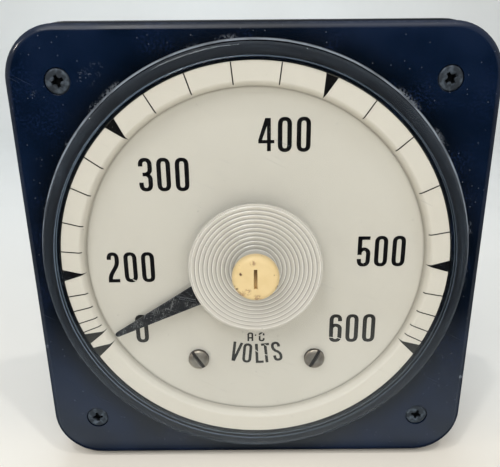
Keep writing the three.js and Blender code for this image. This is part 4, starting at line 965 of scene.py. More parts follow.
def bezel():
    """The square front moulding: a plate with a rounded edge, the groove that holds the window,
    four counterbores, and a hollow back behind the corners."""
    mesh = bmesh.new()

    def outline(inset):
        return rounded_square(BEZEL_SIDE - 2 * inset, BEZEL_CORNER - inset)

    curve = [math.radians(90 * i / 8) for i in range(9)]
    front = [(outline(BEZEL_ROUND * (1 - math.sin(a))), BEZEL_ROUND * (math.cos(a) - 1)) for a in curve]
    back = [(outline(0), 0.25 - BEZEL_DEPTH), (outline(0.25), -BEZEL_DEPTH)]
    outer = stack(mesh, front + back)
    lip = -LIP_DROP
    profile = [
        (GROOVE_OUTER + 0.2, 0.0),
        (GROOVE_OUTER + 0.05, -0.06),
        (GROOVE_OUTER, -0.2),
        (GROOVE_OUTER, -GROOVE_DEPTH),
        (GROOVE_INNER, -GROOVE_DEPTH),
        (GROOVE_INNER, lip - 0.2),
        (GROOVE_INNER - 0.05, lip - 0.06),
        (GROOVE_INNER - 0.18, lip),
        (DIAL_OPENING + 0.15, lip),
        (DIAL_OPENING + 0.04, lip - 0.05),
        (DIAL_OPENING, lip - 0.15),
        (DIAL_OPENING, -BEZEL_DEPTH),
    ]
    opening = stack(mesh, rounds(profile, OPENING_FACETS))
    bore = COVER_SCREW_SHANK + FIT
    sink = [
        (COUNTERBORE + 0.15, 0.0),
        (COUNTERBORE + 0.03, -0.05),
        (COUNTERBORE, -0.15),
        (COUNTERBORE, -COUNTERBORE_DEPTH),
        (bore, -COUNTERBORE_DEPTH),
        (bore, -BEZEL_DEPTH),
    ]
    bores = [stack(mesh, rounds(sink, HEAD_FACETS, x, y)) for x, y in CORNERS]
    close(mesh, outer[0], opening[0], *(bore[0] for bore in bores))

    half = BEZEL_SIDE / 2 - BEZEL_SKIRT
    corner = BEZEL_CORNER - BEZEL_SKIRT
    away = math.degrees(math.acos(half / BEZEL_RIM)) + 0.2
    pocket = arc(half - corner, half - corner, corner, corner, 0, 90, 12)
    pocket += arc(0, 0, BEZEL_RIM, BEZEL_RIM, 90 - away, away, 40)
    pockets = []
    for quarter, (x, y) in enumerate(QUARTERS):
        loop = turn(pocket, 90 * quarter)
        walls = stack(mesh, [(loop, -BEZEL_DEPTH), (loop, -BEZEL_PLATE)])
        post = circle(CORNER_BOSS, HEAD_FACETS, x * CORNER_PLACE, y * CORNER_PLACE)
        sides = stack(mesh, [(post, -BEZEL_PLATE), (post, -BEZEL_DEPTH)])
        close(mesh, walls[1], sides[0])
        foot = next(b[-1] for b in bores if b[-1][0].co.x * x > 0 and b[-1][0].co.y * y > 0)
        close(mesh, sides[1], foot)
        pockets.append(walls[0])
    close(mesh, outer[-1], opening[-1], *pockets)
    return piece("bezel", mesh, bezel_black, "black_plastic", stands_for=("front_bezel",))


def window():
    """The turned acrylic window, with its rounded rim and the fillet at its wall."""
    mesh = bmesh.new()
    inner = WINDOW_RADIUS - WINDOW_WALL
    inside = WINDOW_FRONT - WINDOW_THICKNESS
    middle = (WINDOW_RADIUS - WINDOW_ROUND, WINDOW_FRONT - WINDOW_ROUND)
    profile = [(WINDOW_HOLE, inside + 0.1), (WINDOW_HOLE + 0.1, inside)]
    profile += arc(inner - 0.4, inside - 0.4, 0.4, 0.4, 90, 0, 5)
    profile += [(WINDOW_RADIUS, inside - 0.4)]
    profile += rounding(*middle, WINDOW_ROUND, 0, 90, 8)
    profile += [(WINDOW_HOLE + 0.1, WINDOW_FRONT), (WINDOW_HOLE, WINDOW_FRONT - 0.1)]
    spin(mesh, profile, OPENING_FACETS, hollow=True)
    return piece("window_pane", mesh, window_clear, "clear_plastic", stands_for=("window",))


def window_wall():
    """The window's wall, blacked at the back, which shows as a dark band round the dial."""
    mesh = bmesh.new()
    inner, outer = WINDOW_RADIUS - WINDOW_WALL, WINDOW_RADIUS - 0.05
    front = WINDOW_FRONT - WINDOW_THICKNESS + 0.1
    profile = [(inner, front), (outer, front), (outer, WINDOW_FOOT), (inner, WINDOW_FOOT)]
    spin(mesh, profile, OPENING_FACETS, hollow=True)
    return piece("blacked_window_wall", mesh, rim_black, "black_plastic")


def boss():
    """The ridged disc over the window's hole, with the collar that carries the zero screw."""
    mesh = bmesh.new()
    hole = SHAFT_RADIUS + FIT
    profile = [
        (hole, BOSS_HOLLOW),
        (SPIGOT_RADIUS - SPIGOT_WALL, BOSS_HOLLOW),
        (SPIGOT_RADIUS - SPIGOT_WALL, SPIGOT_END),
        (SPIGOT_RADIUS, SPIGOT_END),
        (SPIGOT_RADIUS, BOSS_SEAT),
        (BOSS_RADIUS, BOSS_SEAT),
        (BOSS_RADIUS, RIDGE_FOOT),
        (BOSS_RADIUS - 0.08, RIDGE_FOOT + 0.08),
    ]
    for ridge in range(RIDGE_COUNT):
        crest = RIDGE_OUTERMOST - RIDGE_PITCH * ridge
        for inward, share in RIDGE_SHAPE:
            profile.append((crest - inward, RIDGE_FOOT + RIDGE_HEIGHT * share))
    profile += [(COLLAR_RADIUS + 0.12, RIDGE_FOOT), (COLLAR_RADIUS, RIDGE_FOOT + 0.12)]
    profile += rounding(COLLAR_RADIUS - 0.3, COLLAR_TOP - 0.3, 0.3, 0, 90)
    profile += [(hole, COLLAR_TOP)]
    spin(mesh, profile, DISC_FACETS, hollow=True)
    return piece("ridged_boss", mesh, boss_frost, "frosted_plastic", stands_for=("centre_boss",))


def zero_screw():
    """The slotted cream screw in the boss, on the shaft that turns the drive disc."""
    mesh = bmesh.new()
    middle = (KNOB_RADIUS - KNOB_ROUND, KNOB_FRONT - KNOB_ROUND)
    profile = [
        (SHAFT_TIP, SHAFT_END),
        (SHAFT_TIP, SHAFT_BACK),
        (SHAFT_RADIUS, SHAFT_BACK),
        (SHAFT_RADIUS, KNOB_BACK),
        (KNOB_RADIUS - 0.2, KNOB_BACK),
        (KNOB_RADIUS, KNOB_BACK + 0.2),
        *rounding(*middle, KNOB_ROUND, 0, 90, 7),
    ]
    a, b, r = KNOB_SLOT_WIDTH / 2, KNOB_SLOT_LENGTH / 2, 0.12

    def slot(grow):
        x, y = a + grow - r, b + grow - r
        ends = ((x, y, 0), (-x, y, 90), (-x, -y, 180), (x, -y, 270))
        return [p for cx, cy, start in ends for p in arc(cx, cy, r, r, start, start + 90, 4)]

    depths = [(0.06, 0.0), (0.0, 0.08), (-0.04, KNOB_SLOT_DEPTH)]
    cut = [(slot(grow), KNOB_FRONT - depth) for grow, depth in depths]
    recessed(mesh, rounds(profile, KNOB_FACETS), cut)
    zero = {"slot": "cream_plastic", "body": "adjuster", "stands_for": ("zero_adjuster",)}
    return piece("slotted_zero_screw", mesh, knob_cream, **zero)


def cross_screw(name, x, y, lean, node):
    """A cover screw with a domed head and a tapered cross recess."""
    mesh = bmesh.new()
    front = COVER_SCREW_FRONT
    back = front - COVER_SCREW_HEIGHT
    profile = [
        (COVER_SCREW_SHANK, front - COVER_SCREW_LENGTH),
        (COVER_SCREW_SHANK, back),
        (COVER_SCREW_HEAD, back),
    ]
    for step in range(6):
        a = math.radians(18 * step)
        inward, drop = (COVER_SCREW_DOME * (1 - share) for share in (math.cos(a), math.sin(a)))
        profile.append((COVER_SCREW_HEAD - inward, front - drop))

    def cross(share):
        a, b = CROSS_LENGTH / 2 * share, CROSS_WIDTH / 2 * share
        arm = [(a, -0.8 * b), (a, 0.8 * b), (b + 0.28, b), (b, b + 0.28)]
        loop = [p for quarter in range(4) for p in turn(arm, 90 * quarter)]
        return turn(loop, lean, x, y)

    depths = ((1.0, 0.0), (0.94, 0.1), (0.62, CROSS_DEPTH))
    cut = [(cross(share), front - depth) for share, depth in depths]
    recessed(mesh, rounds(profile, HEAD_FACETS, x, y), cut)
    return piece(name, mesh, screw_black, "dark_steel", stands_for=(node,))


def dial_screw(name, x, y, lean, node):
    """A slotted nickel screw that holds the dial. Its head is two halves on a thin disc."""
    mesh = bmesh.new()
    back = DIAL_FLOOR + SEAT
    front = back + DIAL_SCREW_HEIGHT
    floor = front - DIAL_SCREW_SLOT_DEPTH
    shank = [
        (DIAL_SCREW_SHANK, front - DIAL_SCREW_LENGTH),
        (DIAL_SCREW_SHANK, back),
        (DIAL_SCREW_HEAD, back),
        (DIAL_SCREW_HEAD, floor),
    ]
    spin(mesh, shank, HEAD_FACETS, x, y)
    gap = DIAL_SCREW_SLOT / 2
    for side in (0, 180):
        sections = []
        for inset, drop in ((0.0, 0.6), (0.05, 0.45), (0.3, 0.24), (0.75, 0.08), (1.3, 0.0)):
            z = front - drop
            radius = DIAL_SCREW_HEAD - inset
            edge = gap + inset * 0.05
            start = math.degrees(math.asin(edge / radius))
            half = arc(0, 0, radius, radius, start, 180 - start, 24)
            sections.append((turn(half, lean + side, x, y), z))
        loft(mesh, sections)
    return piece(name, mesh, nickel_head, "nickel", stands_for=(node,))


# Dial


def ring_slope():
    """The scale ring's face from its flat down to its foot, as (radius, z) points."""
    points = []
    steps = 10
    for step in range(steps + 1):
        t = step / steps
        u = 1 - t
        radius = u * u * RING_SHOULDER + 2 * u * t * RING_TURN + t * t * RING_FOOT
        points.append((radius, RING_TOP + t * t * (RING_BACK - RING_TOP)))
    return points


def scale_ring():
    """The raised outer ring of the dial, whose inner edge sweeps down to the disc."""
    mesh = bmesh.new()
    profile = ring_slope()[::-1]
    profile += [(RING_OUTER - 0.1, RING_TOP), (RING_OUTER, RING_TOP - 0.1), (RING_OUTER, RING_BACK)]
    spin(mesh, profile, OPENING_FACETS, hollow=True)
    return piece("stepped_scale_ring", mesh, ring_paint, "dial_paint", stands_for=("scale_ring",))


def dial_disc():
    """The sunk disc of the dial, with the two pins that stop the pointer."""
    mesh = bmesh.new()
    loops = [circle(radius, DISC_FACETS) for radius in (DIAL_RADIUS, DIAL_HOLE)]
    loops += [circle(DIAL_SCREW_SHANK + FIT, BORE_FACETS, x, y) for x, y, lean in DIAL_SCREW_PLACES]
    sides = [stack(mesh, [(loop, DIAL_FLOOR), (loop, DIAL_BACK)]) for loop in loops]
    for level in (0, 1):
        close(mesh, *(side[level] for side in sides))
    for side in (-1, 1):
        (x, y), = turn([(0, STOP_PIN_PLACE)], side * STOP_PIN_DEGREES)
        pin = [(STOP_PIN, DIAL_FLOOR), (STOP_PIN, -0.45), (STOP_PIN - 0.1, -0.35)]
        spin(mesh, pin, BORE_FACETS, x, y)
    return piece("sunk_dial_disc", mesh, disc_paint, "dial_paint", stands_for=("dial_plate",))


def scale_marks():
    """The printed marks: a triangle at nought and at each hundred, and a fine line between. They
    run from the ring's edge over its flat and some way down its slope."""
    mesh = bmesh.new()
    for volts, degrees in SCALE_DEGREES.items():
        bold = volts % 100 == 0
        foot = TRIANGLE_TIP if bold else MARK_FOOT
        edge = RING_OUTER - 0.05
        path = [(edge, RING_TOP)] + [spot for spot in ring_slope() if spot[0] > foot]
        steps = []
        for radius, z in path:
            share = (radius - foot) / (edge - foot)
            half = (TRIANGLE_BASE * share if bold else MARK_WIDTH) / 2
            low = z + PRINT_LIFT
            edges = turn([(-half, radius), (half, radius)], -degrees)
            steps.append((*edges, low, low + PRINT_THICKNESS))
        strip(mesh, steps)
    return piece("scale_marks", mesh, ink, "dial_paint")


def digit_strokes(sign):
    """The strokes of a condensed figure about its middle, 7.75 mm high. Each is a path and
    whether it closes on itself."""
    a, b, r = 0.96 if sign == "2" else 1.09, 3.5, 1.3
    top, foot = b - r, r - b
    over = arc(0, top, a, r, 180, 0, 14, 0.8)
    under = arc(0, foot, a, r, 0, -180, 14, 0.8)
    if sign == "0":
        return [(over + under, True)]
    if sign == "2":
        sweep = [(a, 1.6), (a - 0.04, 1.15), (a - 0.16, 0.7), (a - 0.38, 0.15), (-a + 0.42, -1.65)]
        sweep += [(-a + 0.16, -2.3), (-a + 0.03, -2.75), (-a, -b), (a + 0.42, -b)]
        return [([(-a, 2.02)] + over + sweep, False)]
    if sign == "3":
        upper = [(-a, 1.95)] + over + arc(-0.2, 1.25, a + 0.2, 1.17, 0, -90, 8) + [(-0.68, 0.08)]
        lower = arc(-0.2, -1.05, a + 0.2, 1.17, 85, 0, 8) + under + [(-a, -1.82)]
        return [(upper, False), (lower, False)]
    if sign == "5":
        bowl = arc(0.06, -0.62, a - 0.02, 1.2, 150, 0, 10) + under + [(-a, -1.95)]
        stem, flag = [(-1.0, 3.7), (-1.0, -0.9)], [(-1.4, b - 0.1), (1.45, b - 0.1)]
        return [(stem, False), (flag, False), (bowl, False)]
    if sign == "6":
        bowl = arc(0.02, -0.12, a, 1.0, 0, 150, 10)
        return [([(a, 2.0)] + over[::-1] + under[::-1] + bowl, False)]
    raise ValueError(sign)


# The figure four is a flat outline with a hole, about its middle
FOUR = [
    (-0.25, 3.72), (1.04, 3.72), (1.04, -1.18), (1.85, -1.18), (1.85, -1.93), (1.04, -1.93),
    (1.04, -3.72), (0.17, -3.72), (0.17, -1.93), (-1.85, -1.93), (-1.85, -1.2),
]
FOUR_HOLE = [(0.17, 1.98), (-0.97, -1.18), (0.17, -1.18)]
FIGURE_PLACES = (-4.22, 0.03, 4.36)
FIGURE_PEN = (1.05, 0.87)
NUMERALS = {
    "200": (-31.03, -0.98),
    "300": (-21.4, 21.95),
    "400": (6.9, 30.91),
    "500": (30.8, 2.71),
    "600": (24.67, -18.07),
    "0": (-29.45, -17.76),
}


def numerals():
    """The printed numbers, upright on the sunk disc."""
    mesh = bmesh.new()
    for number, (x, y) in NUMERALS.items():
        places = FIGURE_PLACES if len(number) == 3 else (0.0,)
        for sign, shift in zip(number, places):
            here = x + shift
            if sign == "4":
                four, hole = turn(FOUR, 0, here, y), turn(FOUR_HOLE, 0, here, y)
                slab(mesh, four, PRINT_LOW, PRINT_HIGH, hole)
                continue
            for path, closed in digit_strokes(sign):
                here_path = turn(path, 0, here, y)
                ribbon(mesh, here_path, PRINT_LOW, PRINT_HIGH, FIGURE_PEN, closed)
    return piece("numerals", mesh, ink, "dial_paint")


def letter_strokes(sign):
    """The strokes of a plain capital about its middle, 5 mm high."""
    a, b, r = 0.82, 2.5, 0.95
    top, foot = b - r, r - b
    over = arc(0, top, a, r, 180, 0, 10, 0.85)
    under = arc(0, foot, a, r, 0, -180, 10, 0.85)
    if sign == "V":
        return [([(x, b + 0.3), (-0.28 + x * 0.1, -b - 0.3)], False) for x in (-0.85, 1.0)]
    if sign == "O":
        return [(over + under, True)]
    if sign == "L":
        return [([(-0.75, b + 0.3), (-0.75, -b), (0.95, -b)], False)]
    if sign == "T":
        return [([(-1.05, b), (1.05, b)], False), ([(0, b), (0, -b - 0.3)], False)]
    if sign == "S":
        spine = [(-a, 1.3), (-a + 0.12, 0.85), (-0.35, 0.3), (0.35, -0.2), (a - 0.12, -0.75), (a, -1.2)]
        return [([(a, 1.25)] + over[::-1] + spine + under[1:] + [(-a, -1.05)], False)]
    if sign == "A":
        return [([(-a, -b - 0.25)] + over + [(a, -b - 0.25)], False), ([(-a, -0.6), (a, -0.6)], False)]
    if sign == "C":
        return [([(a, 0.9)] + over[::-1] + under[::-1] + [(a, -0.9)], False)]
    raise ValueError(sign)


WORD_RADIUS = 25.15
WORD_LETTERS = (("V", -12.2), ("O", -5.5), ("L", 1.9), ("T", 5.7), ("S", 12.2))
WORD_PEN = (0.74, 0.66)
KIND_HEIGHT = -20.35
KIND_LETTERS = (("A", -1.55), ("C", 1.38))
KIND_SHARE = 0.43  # of the height of the letters of VOLTS
KIND_BREADTH = 1.5  # how much wider they are for that height
KIND_PEN = (0.46, 0.42)
KIND_DOT = (0.22, 16, -0.2, KIND_HEIGHT + 0.5)  # radius, facets, x and y


def words():
    """The printed words under the boss: VOLTS on an arc about the dial axis, and A and C with
    a dot between them."""
    mesh = bmesh.new()
    for sign, degrees in WORD_LETTERS:
        for path, closed in letter_strokes(sign):
            lowered = turn([(x, y - WORD_RADIUS) for x, y in path], degrees)
            ribbon(mesh, lowered, PRINT_LOW, PRINT_HIGH, WORD_PEN, closed)
    for sign, shift in KIND_LETTERS:
        for path, closed in letter_strokes(sign):
            small = [(x * KIND_SHARE * KIND_BREADTH, y * KIND_SHARE) for x, y in path]
            small = turn(small, 0, shift, KIND_HEIGHT)
            ribbon(mesh, small, PRINT_LOW, PRINT_HIGH, KIND_PEN, closed)
    slab(mesh, circle(*KIND_DOT), PRINT_LOW, PRINT_HIGH)
    return piece("dial_words", mesh, ink, "dial_paint")


# Where something sharp was dragged over the print: paths over the first nought of 200, C, L,
# T and 6
SCRATCHES = (
    ((-30.75, -4.2), (-29.4, -4.8)),
    ((0.5, -20.1), (1.2, -19.7), (1.95, -19.1)),
    ((-0.9, -23.6), (0.2, -24.6), (1.0, -25.1), (2.6, -25.6), (3.4, -25.8)),
    ((2.1, -22.5), (2.9, -23.1)),
    ((18.5, -20.5), (20.0, -20.75), (20.9, -20.7), (22.0, -21.1)),
)
SCRATCH_WIDTH = 0.2
SCRATCH_LIFT = 0.01


def print_scratches():
    """Hairline scratches that lifted the ink and show the lacquer again."""
    mesh = bmesh.new()
    for path in SCRATCHES:
        ribbon(mesh, path, PRINT_HIGH, PRINT_HIGH + SCRATCH_LIFT, (SCRATCH_WIDTH, SCRATCH_WIDTH))
    return piece("print_scratches", mesh, disc_paint, "dial_paint")


def pointer():
    """The black knife pointer: a blade over the dial, folded over at its root, and a cranked
    stem to its hub. Bare metal strips along the fold's edge and beside it are painted highlights."""
    mesh = bmesh.new()
    tip = POINTER_TIP_WIDTH / 2
    shoulder = POINTER_SHOULDER_WIDTH / 2
    heel = POINTER_HEEL_WIDTH / 2
    back = POINTER_FRONT - POINTER_THICKNESS

    def blade(inset):
        end = arc(0, POINTER_TIP - tip, tip - inset, tip - inset, 0, 180, 8)
        low = POINTER_HEEL + inset
        right = [(heel - inset, low), (shoulder - inset, POINTER_SHOULDER)]
        return right + end + [(-x, y) for x, y in reversed(right)]

    r = 0.08
    sections = [(blade(r), back), (blade(0.0), back + r), (blade(0.0), POINTER_FRONT - r)]
    loft(mesh, sections + [(blade(r), POINTER_FRONT)])
    thick = POINTER_THICKNESS
    start = POINTER_BORE + (POINTER_RING - POINTER_BORE) / 2
    side = [
        (start, POINTER_ROOT - thick),
        (POINTER_CRANK + thick, POINTER_ROOT - thick),
        (POINTER_HEEL + thick, back),
        (POINTER_HEEL + 2 * thick, POINTER_FRONT),
        (POINTER_HEEL, POINTER_FRONT),
        (POINTER_CRANK, POINTER_ROOT),
        (start, POINTER_ROOT),
    ]
    slab(mesh, POINTER_FOLD, POINTER_FRONT - 0.05, POINTER_FRONT + POINTER_FOLD_RISE)
    flanks = [[mesh.verts.new((x, y, z)) for y, z in side] for x in (-heel, heel)]
    band(mesh, *flanks)
    for flank in flanks:
        mesh.faces.new(flank)
    ring = [
        (POINTER_BORE, POINTER_ROOT - thick),
        (POINTER_RING, POINTER_ROOT - thick),
        (POINTER_RING, POINTER_ROOT),
        (POINTER_BORE, POINTER_ROOT),
    ]
    spin(mesh, ring, STUD_FACETS, hollow=True)
    rest = Matrix.Rotation(math.radians(POINTER_REST_DEGREES), 4, "Z")
    mesh.transform(rest)
    own = {"slot": "pointer_paint", "body": "moving_element", "stands_for": ("pointer",)}
    piece("knife_pointer", mesh, pointer_paint, **own)
    # Painted highlights: bright metal strips along the fold's edge and the line beside it
    worn = bmesh.new()
    for path, rise in ((POINTER_FOLD[:2], POINTER_FOLD_RISE), (POINTER_HIGHLIGHT_LINE, 0.0)):
        low = POINTER_FRONT + rise
        ribbon(worn, path, low, low + POINTER_HIGHLIGHT_LIFT, (POINTER_HIGHLIGHT_WIDTH, POINTER_HIGHLIGHT_WIDTH))
    worn.transform(rest)
    piece("pointer_highlight_strips", worn, aluminium, "pointer_paint", "moving_element")


# Case, fasteners and terminals


def case():
    """The base flange and the round case behind it, in one moulding."""
    mesh = bmesh.new()

    def outline(inset):
        return rounded_square(FLANGE_SIDE - 2 * inset, FLANGE_CORNER - inset)

    edges = [(0.4, FLANGE_FRONT), (0.12, FLANGE_FRONT - 0.12), (0.0, FLANGE_FRONT - 0.4)]
    edges += [(0.0, FLANGE_BACK + 0.4), (0.12, FLANGE_BACK + 0.12), (0.4, FLANGE_BACK)]
    flange = stack(mesh, [(outline(inset), z) for inset, z in edges])
    fillet = rounding(BARREL_RADIUS + 0.8, FLANGE_BACK - 0.8, 0.8, 90, 180)
    edge = rounding(BARREL_RADIUS - 1.0, CASE_BACK + 1.0, 1.0, 0, -90)
    barrel = stack(mesh, rounds(fillet + edge, DISC_FACETS))
    inside = [(BARREL_INNER, FLANGE_FRONT), (BARREL_INNER, CASE_FLOOR)]
    bore = stack(mesh, rounds(inside, DISC_FACETS))
    sink = FLANGE_FRONT - 2 * SEAT - STUD_COLLAR_HEIGHT
    steps = [
        (STUD_COLLAR + FIT, FLANGE_FRONT),
        (STUD_COLLAR + FIT, sink),
        (STUD_RADIUS + FIT, sink),
        (STUD_RADIUS + FIT, FLANGE_BACK),
    ]
    studs = [stack(mesh, rounds(steps, STUD_FACETS, x, y)) for x, y in CORNERS]
    post = [(TERMINAL_RADIUS + FIT, z) for z in (CASE_FLOOR, CASE_BACK)]
    places = (-TERMINAL_X, TERMINAL_X)
    posts = [stack(mesh, rounds(post, STUD_FACETS, x, TERMINAL_Y)) for x in places]
    close(mesh, flange[0], bore[0], *(stud[0] for stud in studs))
    close(mesh, flange[-1], barrel[0], *(stud[-1] for stud in studs))
    close(mesh, bore[-1], *(post[0] for post in posts))
    close(mesh, barrel[-1], *(post[-1] for post in posts))
    half = LUG_WIDTH / 2
    reach = BARREL_INNER + 0.3
    for degrees in LUG_DEGREES:
        lug = [(-half, LUG_INNER), (half, LUG_INNER), (half, reach), (-half, reach)]
        (x, y), = turn([(0, LUG_BORE_PLACE)], degrees)
        hole = circle(LUG_BORE, BORE_FACETS, x, y)
        slab(mesh, turn(lug, degrees), LUG_TOP - LUG_DEPTH, LUG_TOP, hole)
    return piece("flanged_case", mesh, case_black, "black_plastic", stands_for=("rear_case",))


def cover_seal():
    """The rubber gasket that shows as a thin line between the bezel and the flange."""
    mesh = bmesh.new()
    holes = [circle(GASKET_HOLE, DISC_FACETS)]
    holes += [circle(COVER_SCREW_SHANK + FIT, BORE_FACETS, x, y) for x, y in CORNERS]
    slab(mesh, rounded_square(GASKET_SIDE, GASKET_CORNER), GASKET_BACK, GASKET_FRONT, *holes)
    return piece("cover_seal", mesh, rubber, "rubber", stands_for=("cover_gasket",))


def mounting_stud(name, x, y, node):
    """A screwed stud moulded into a corner of the flange, with a collar in front."""
    mesh = bmesh.new()
    front = FLANGE_FRONT - SEAT
    collar_back = front - STUD_COLLAR_HEIGHT
    hole = COVER_SCREW_SHANK + FIT
    core = STUD_RADIUS - 0.25
    end = front - STUD_BORE_DEPTH
    profile = [
        (hole, front),
        (STUD_COLLAR - 0.2, front),
        (STUD_COLLAR, front - 0.2),
        (STUD_COLLAR, collar_back),
        (core, collar_back),
        (core, end - 0.6),
        (hole - 0.6, end - 0.6),
        (hole, end),
    ]
    spin(mesh, profile, STUD_FACETS, x, y, hollow=True)
    thread(mesh, STUD_RADIUS, STUD_PITCH, end - 0.65, STUD_END, x, y)
    return piece(name, mesh, zinc, "steel", stands_for=(node,))


def terminal(name, x, node):
    """A screwed terminal post with a hexagon head inside the case."""
    mesh = bmesh.new()
    front = TERMINAL_HEAD_BACK
    head = turn(circle(TERMINAL_HEAD, 6), 0, x, TERMINAL_Y)
    slab(mesh, head, front, front + TERMINAL_HEAD_HEIGHT)
    thread(mesh, TERMINAL_RADIUS, TERMINAL_PITCH, front, TERMINAL_END, x, TERMINAL_Y, 36, 8)
    return piece(name, mesh, brass, "brass", stands_for=(node,))


bezel()
window()
window_wall()
boss()
zero_screw()
scale_ring()
dial_disc()
scale_marks()
numerals()
words()
print_scratches()
pointer()
case()
cover_seal()
for number, ((x, y), lean) in enumerate(zip(CORNERS, CROSS_LEANS), 1):
    cross_screw(f"cross_head_screw_{number}", x, y, lean, f"cover_screw_{number}")
    mounting_stud(f"threaded_stud_{number}", x, y, f"mounting_stud_{number}")
    nut(
        f"stud_nut_{number}", MOUNT_NUT, STUD_RADIUS + FIT, FLANGE_BACK - SEAT, x, y,
        MOUNT_NUT_LEAN * number, zinc, "steel", f"mounting_nut_{number}",
    )
for number, (x, y, lean) in enumerate(DIAL_SCREW_PLACES, 1):
    dial_screw(f"slotted_dial_screw_{number}", x, y, lean, f"dial_screw_{number}")
for number, x in enumerate((-TERMINAL_X, TERMINAL_X), 1):
    terminal(f"terminal_post_{number}", x, f"terminal_stud_{number}")
    first = CASE_BACK - SEAT
    second = first - TERMINAL_NUT[1] - TERMINAL_NUT_SPACING
    for kind, front, lean in (("clamp", first, 9.0), ("wire", second, 24.0)):
        nut(
            f"terminal_{kind}_nut_{number}", TERMINAL_NUT, TERMINAL_RADIUS + FIT, front, x, TERMINAL_Y,
            lean * number, brass, "brass", f"{kind}_nut_{number}",
        )


# Camera, floor, backdrop and light


CAMERA_PLACE = (0.324, -134.75, 99.23)
CAMERA_DOWN = 19.03  # degrees
CAMERA_ROLL = -0.45
LENS_LENGTH = 38.887
SENSOR_WIDTH = 36
LENS_SHIFT = (-0.014, 0.059)


def camera():
    """A camera close in front of the meter that looks down on it and nearly square to it."""
    lens = bpy.data.cameras.new("camera")
    lens.lens = LENS_LENGTH
    lens.sensor_width = SENSOR_WIDTH
    lens.shift_x, lens.shift_y = LENS_SHIFT
    lens.clip_start = 0.01
    made = stand("camera", lens)
    made.location = Vector(CAMERA_PLACE) * MILLIMETRE
    made.rotation_mode = "ZYX"
    made.rotation_euler = (math.radians(90 - CAMERA_DOWN), 0, math.radians(CAMERA_ROLL))
    bpy.context.scene.camera = made


def pale_bench():
    """A pale laminate bench with a slow mottle and a painted pool of light in front of the meter.
    What the meter's gloss shows of it is a painted reflection, dimmer than the bench itself: it
    darkens away from the meter, with painted shadow right under the meter's edge."""
    made, node, shader, place = blank("pale_bench", {"Roughness": 0.85, "Specular IOR Level": 0.2})
    mottle = node("TexNoise", {"Vector": place, "Scale": 1 / 160, "Detail": 2.0})
    pale = node("Mix", {0: mottle, 6: linear("#f2ede3"), 7: linear("#e9e3d8")}, **BLEND)
    depth = node("SeparateXYZ", [place], "Y")
    # Painted light: a paler strip just in front of the meter
    wiped = node("MapRange", [depth, -60, -8], **SMOOTH)
    wiped = node("Math", [wiped, node("MapRange", [depth, 25, 0], **SMOOTH)], **TIMES)
    pale = node("Mix", {0: wiped, 6: pale, 7: linear("#f4ede0")}, **BLEND)
    # Painted reflection: what gloss shows of the bench darkens away from the meter
    away = node("MapRange", [depth, -2, -100])
    painted_reflection = node("Mix", {0: away, 6: linear("#e6ecec"), 7: linear("#0d1219")}, **BLEND)
    # Painted shadow in that reflection, right under the meter's edge
    under = node("MapRange", [depth, -8.0, -1.5], **SMOOTH)
    painted_reflection = node("Mix", {0: under, 6: painted_reflection, 7: linear("#2b2f36")}, **BLEND)
    gloss = node("LightPath", output="Is Glossy Ray")
    fill(shader, {"Base Color": node("Mix", {0: gloss, 6: pale, 7: painted_reflection}, **BLEND)})
    return made


# The backdrop, in metres
BACKDROP_SIDES = (-1.6, 0.0, 1.6)
FLOOR_ROWS = (-4.0, -0.3, -0.1, 0.1, 0.4, 0.75)
WALL_BEND = 0.35
WALL_BEND_STEPS = 12
WALL_ROWS = (0.8, 1.4)


def backdrop():
    """One sheet: a level floor that bends up into a wall far behind the meter."""
    mesh = bmesh.new()
    profile = [(y, 0.0) for y in FLOOR_ROWS]
    for step in range(1, WALL_BEND_STEPS + 1):
        a = math.pi / 2 / WALL_BEND_STEPS * step
        profile.append((FLOOR_ROWS[-1] + WALL_BEND * math.sin(a), WALL_BEND - WALL_BEND * math.cos(a)))
    profile += [(FLOOR_ROWS[-1] + WALL_BEND, z) for z in WALL_ROWS]
    rows = [[mesh.verts.new((x, y, z)) for x in BACKDROP_SIDES] for y, z in profile]
    for one, other in zip(rows, rows[1:]):
        for i in (0, 1):
            mesh.faces.new((one[i], one[i + 1], other[i + 1], other[i]))
    for face in mesh.faces:
        face.smooth = True
    finished("backdrop", mesh, pale_bench())


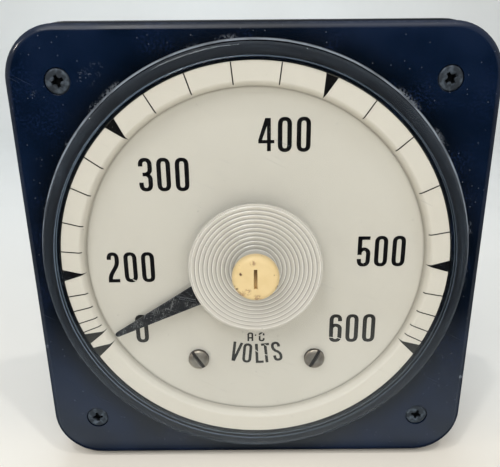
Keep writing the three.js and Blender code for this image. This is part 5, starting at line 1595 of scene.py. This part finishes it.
def lamp(name, place, aim, size, watts, colour, in_gloss=True):
    """A round lamp. Places and sizes are in metres. One that isn't in gloss lights the meter
    without a reflection of its own."""
    light = bpy.data.lights.new(name, "AREA")
    light.shape = "DISK"
    light.size = size
    light.energy = watts
    light.color = linear(colour)[:3]
    made = stand(name, light)
    made.location = place
    made.rotation_euler = (Vector(aim) - Vector(place)).to_track_quat("-Z", "Y").to_euler()
    made.visible_glossy = in_gloss
    made.visible_transmission = in_gloss


ROOM_LEVEL = 0.42  # how brightly the room lights the meter, where the camera sees it at 1


def room():
    """A pale room all round, with a painted reflection: gloss that faces forward shows it dark."""
    world = bpy.data.worlds.new("room")
    world.use_nodes = True
    node = partial(add, world.node_tree)
    toward = node("TexCoord", output="Generated")
    ahead = node("VectorMath", [toward, (0, -1, 0)], "Value", operation="DOT_PRODUCT")
    gloss = node("LightPath", output="Is Glossy Ray")
    # Painted reflection: only gloss sees the room dark ahead
    dark = node("Math", [gloss, node("MapRange", [ahead, 0.7, 0.93], **SMOOTH)], **TIMES)
    colour = node("Mix", {0: dark, 6: linear("#dfe4ea"), 7: linear("#0a0d14")}, **BLEND)
    level = node("MapRange", [gloss.node.outputs["Is Camera Ray"], 0.0, 1.0, ROOM_LEVEL, 1.0])
    fill(world.node_tree.nodes["Background"], {"Color": colour, "Strength": level})
    bpy.context.scene.world = world


camera()
backdrop()
room()
meter = (0, 0, 0.05)
lamp("key", (-0.25, -0.55, 0.7), meter, 0.4, 2.15, "#ffffff")
lamp("fill", (0.45, -0.5, 0.42), meter, 0.45, 0.6, "#fafcff", in_gloss=False)
lamp("low_fill", (0.02, -0.26, 0.09), (0, 0, 0.02), 0.22, 0.3, "#fffaf2", in_gloss=False)
lamp("side_bulb", (-0.8, -0.4, 0.5), meter, 0.03, 0.8, "#fff8ee")
lamp("ceiling_bulb_1", (-0.2, -0.35, 0.98), meter, 0.035, 1.2, "#ffffff")
lamp("ceiling_bulb_2", (0.28, -0.35, 0.96), meter, 0.035, 1.2, "#ffffff")
lamp("wall_wash", (-0.1, 0.3, 0.95), (-0.1, 1.1, 0.35), 0.6, 6.2, "#cfe6ff", in_gloss=False)
bpy.context.scene.view_settings.view_transform = "Standard"
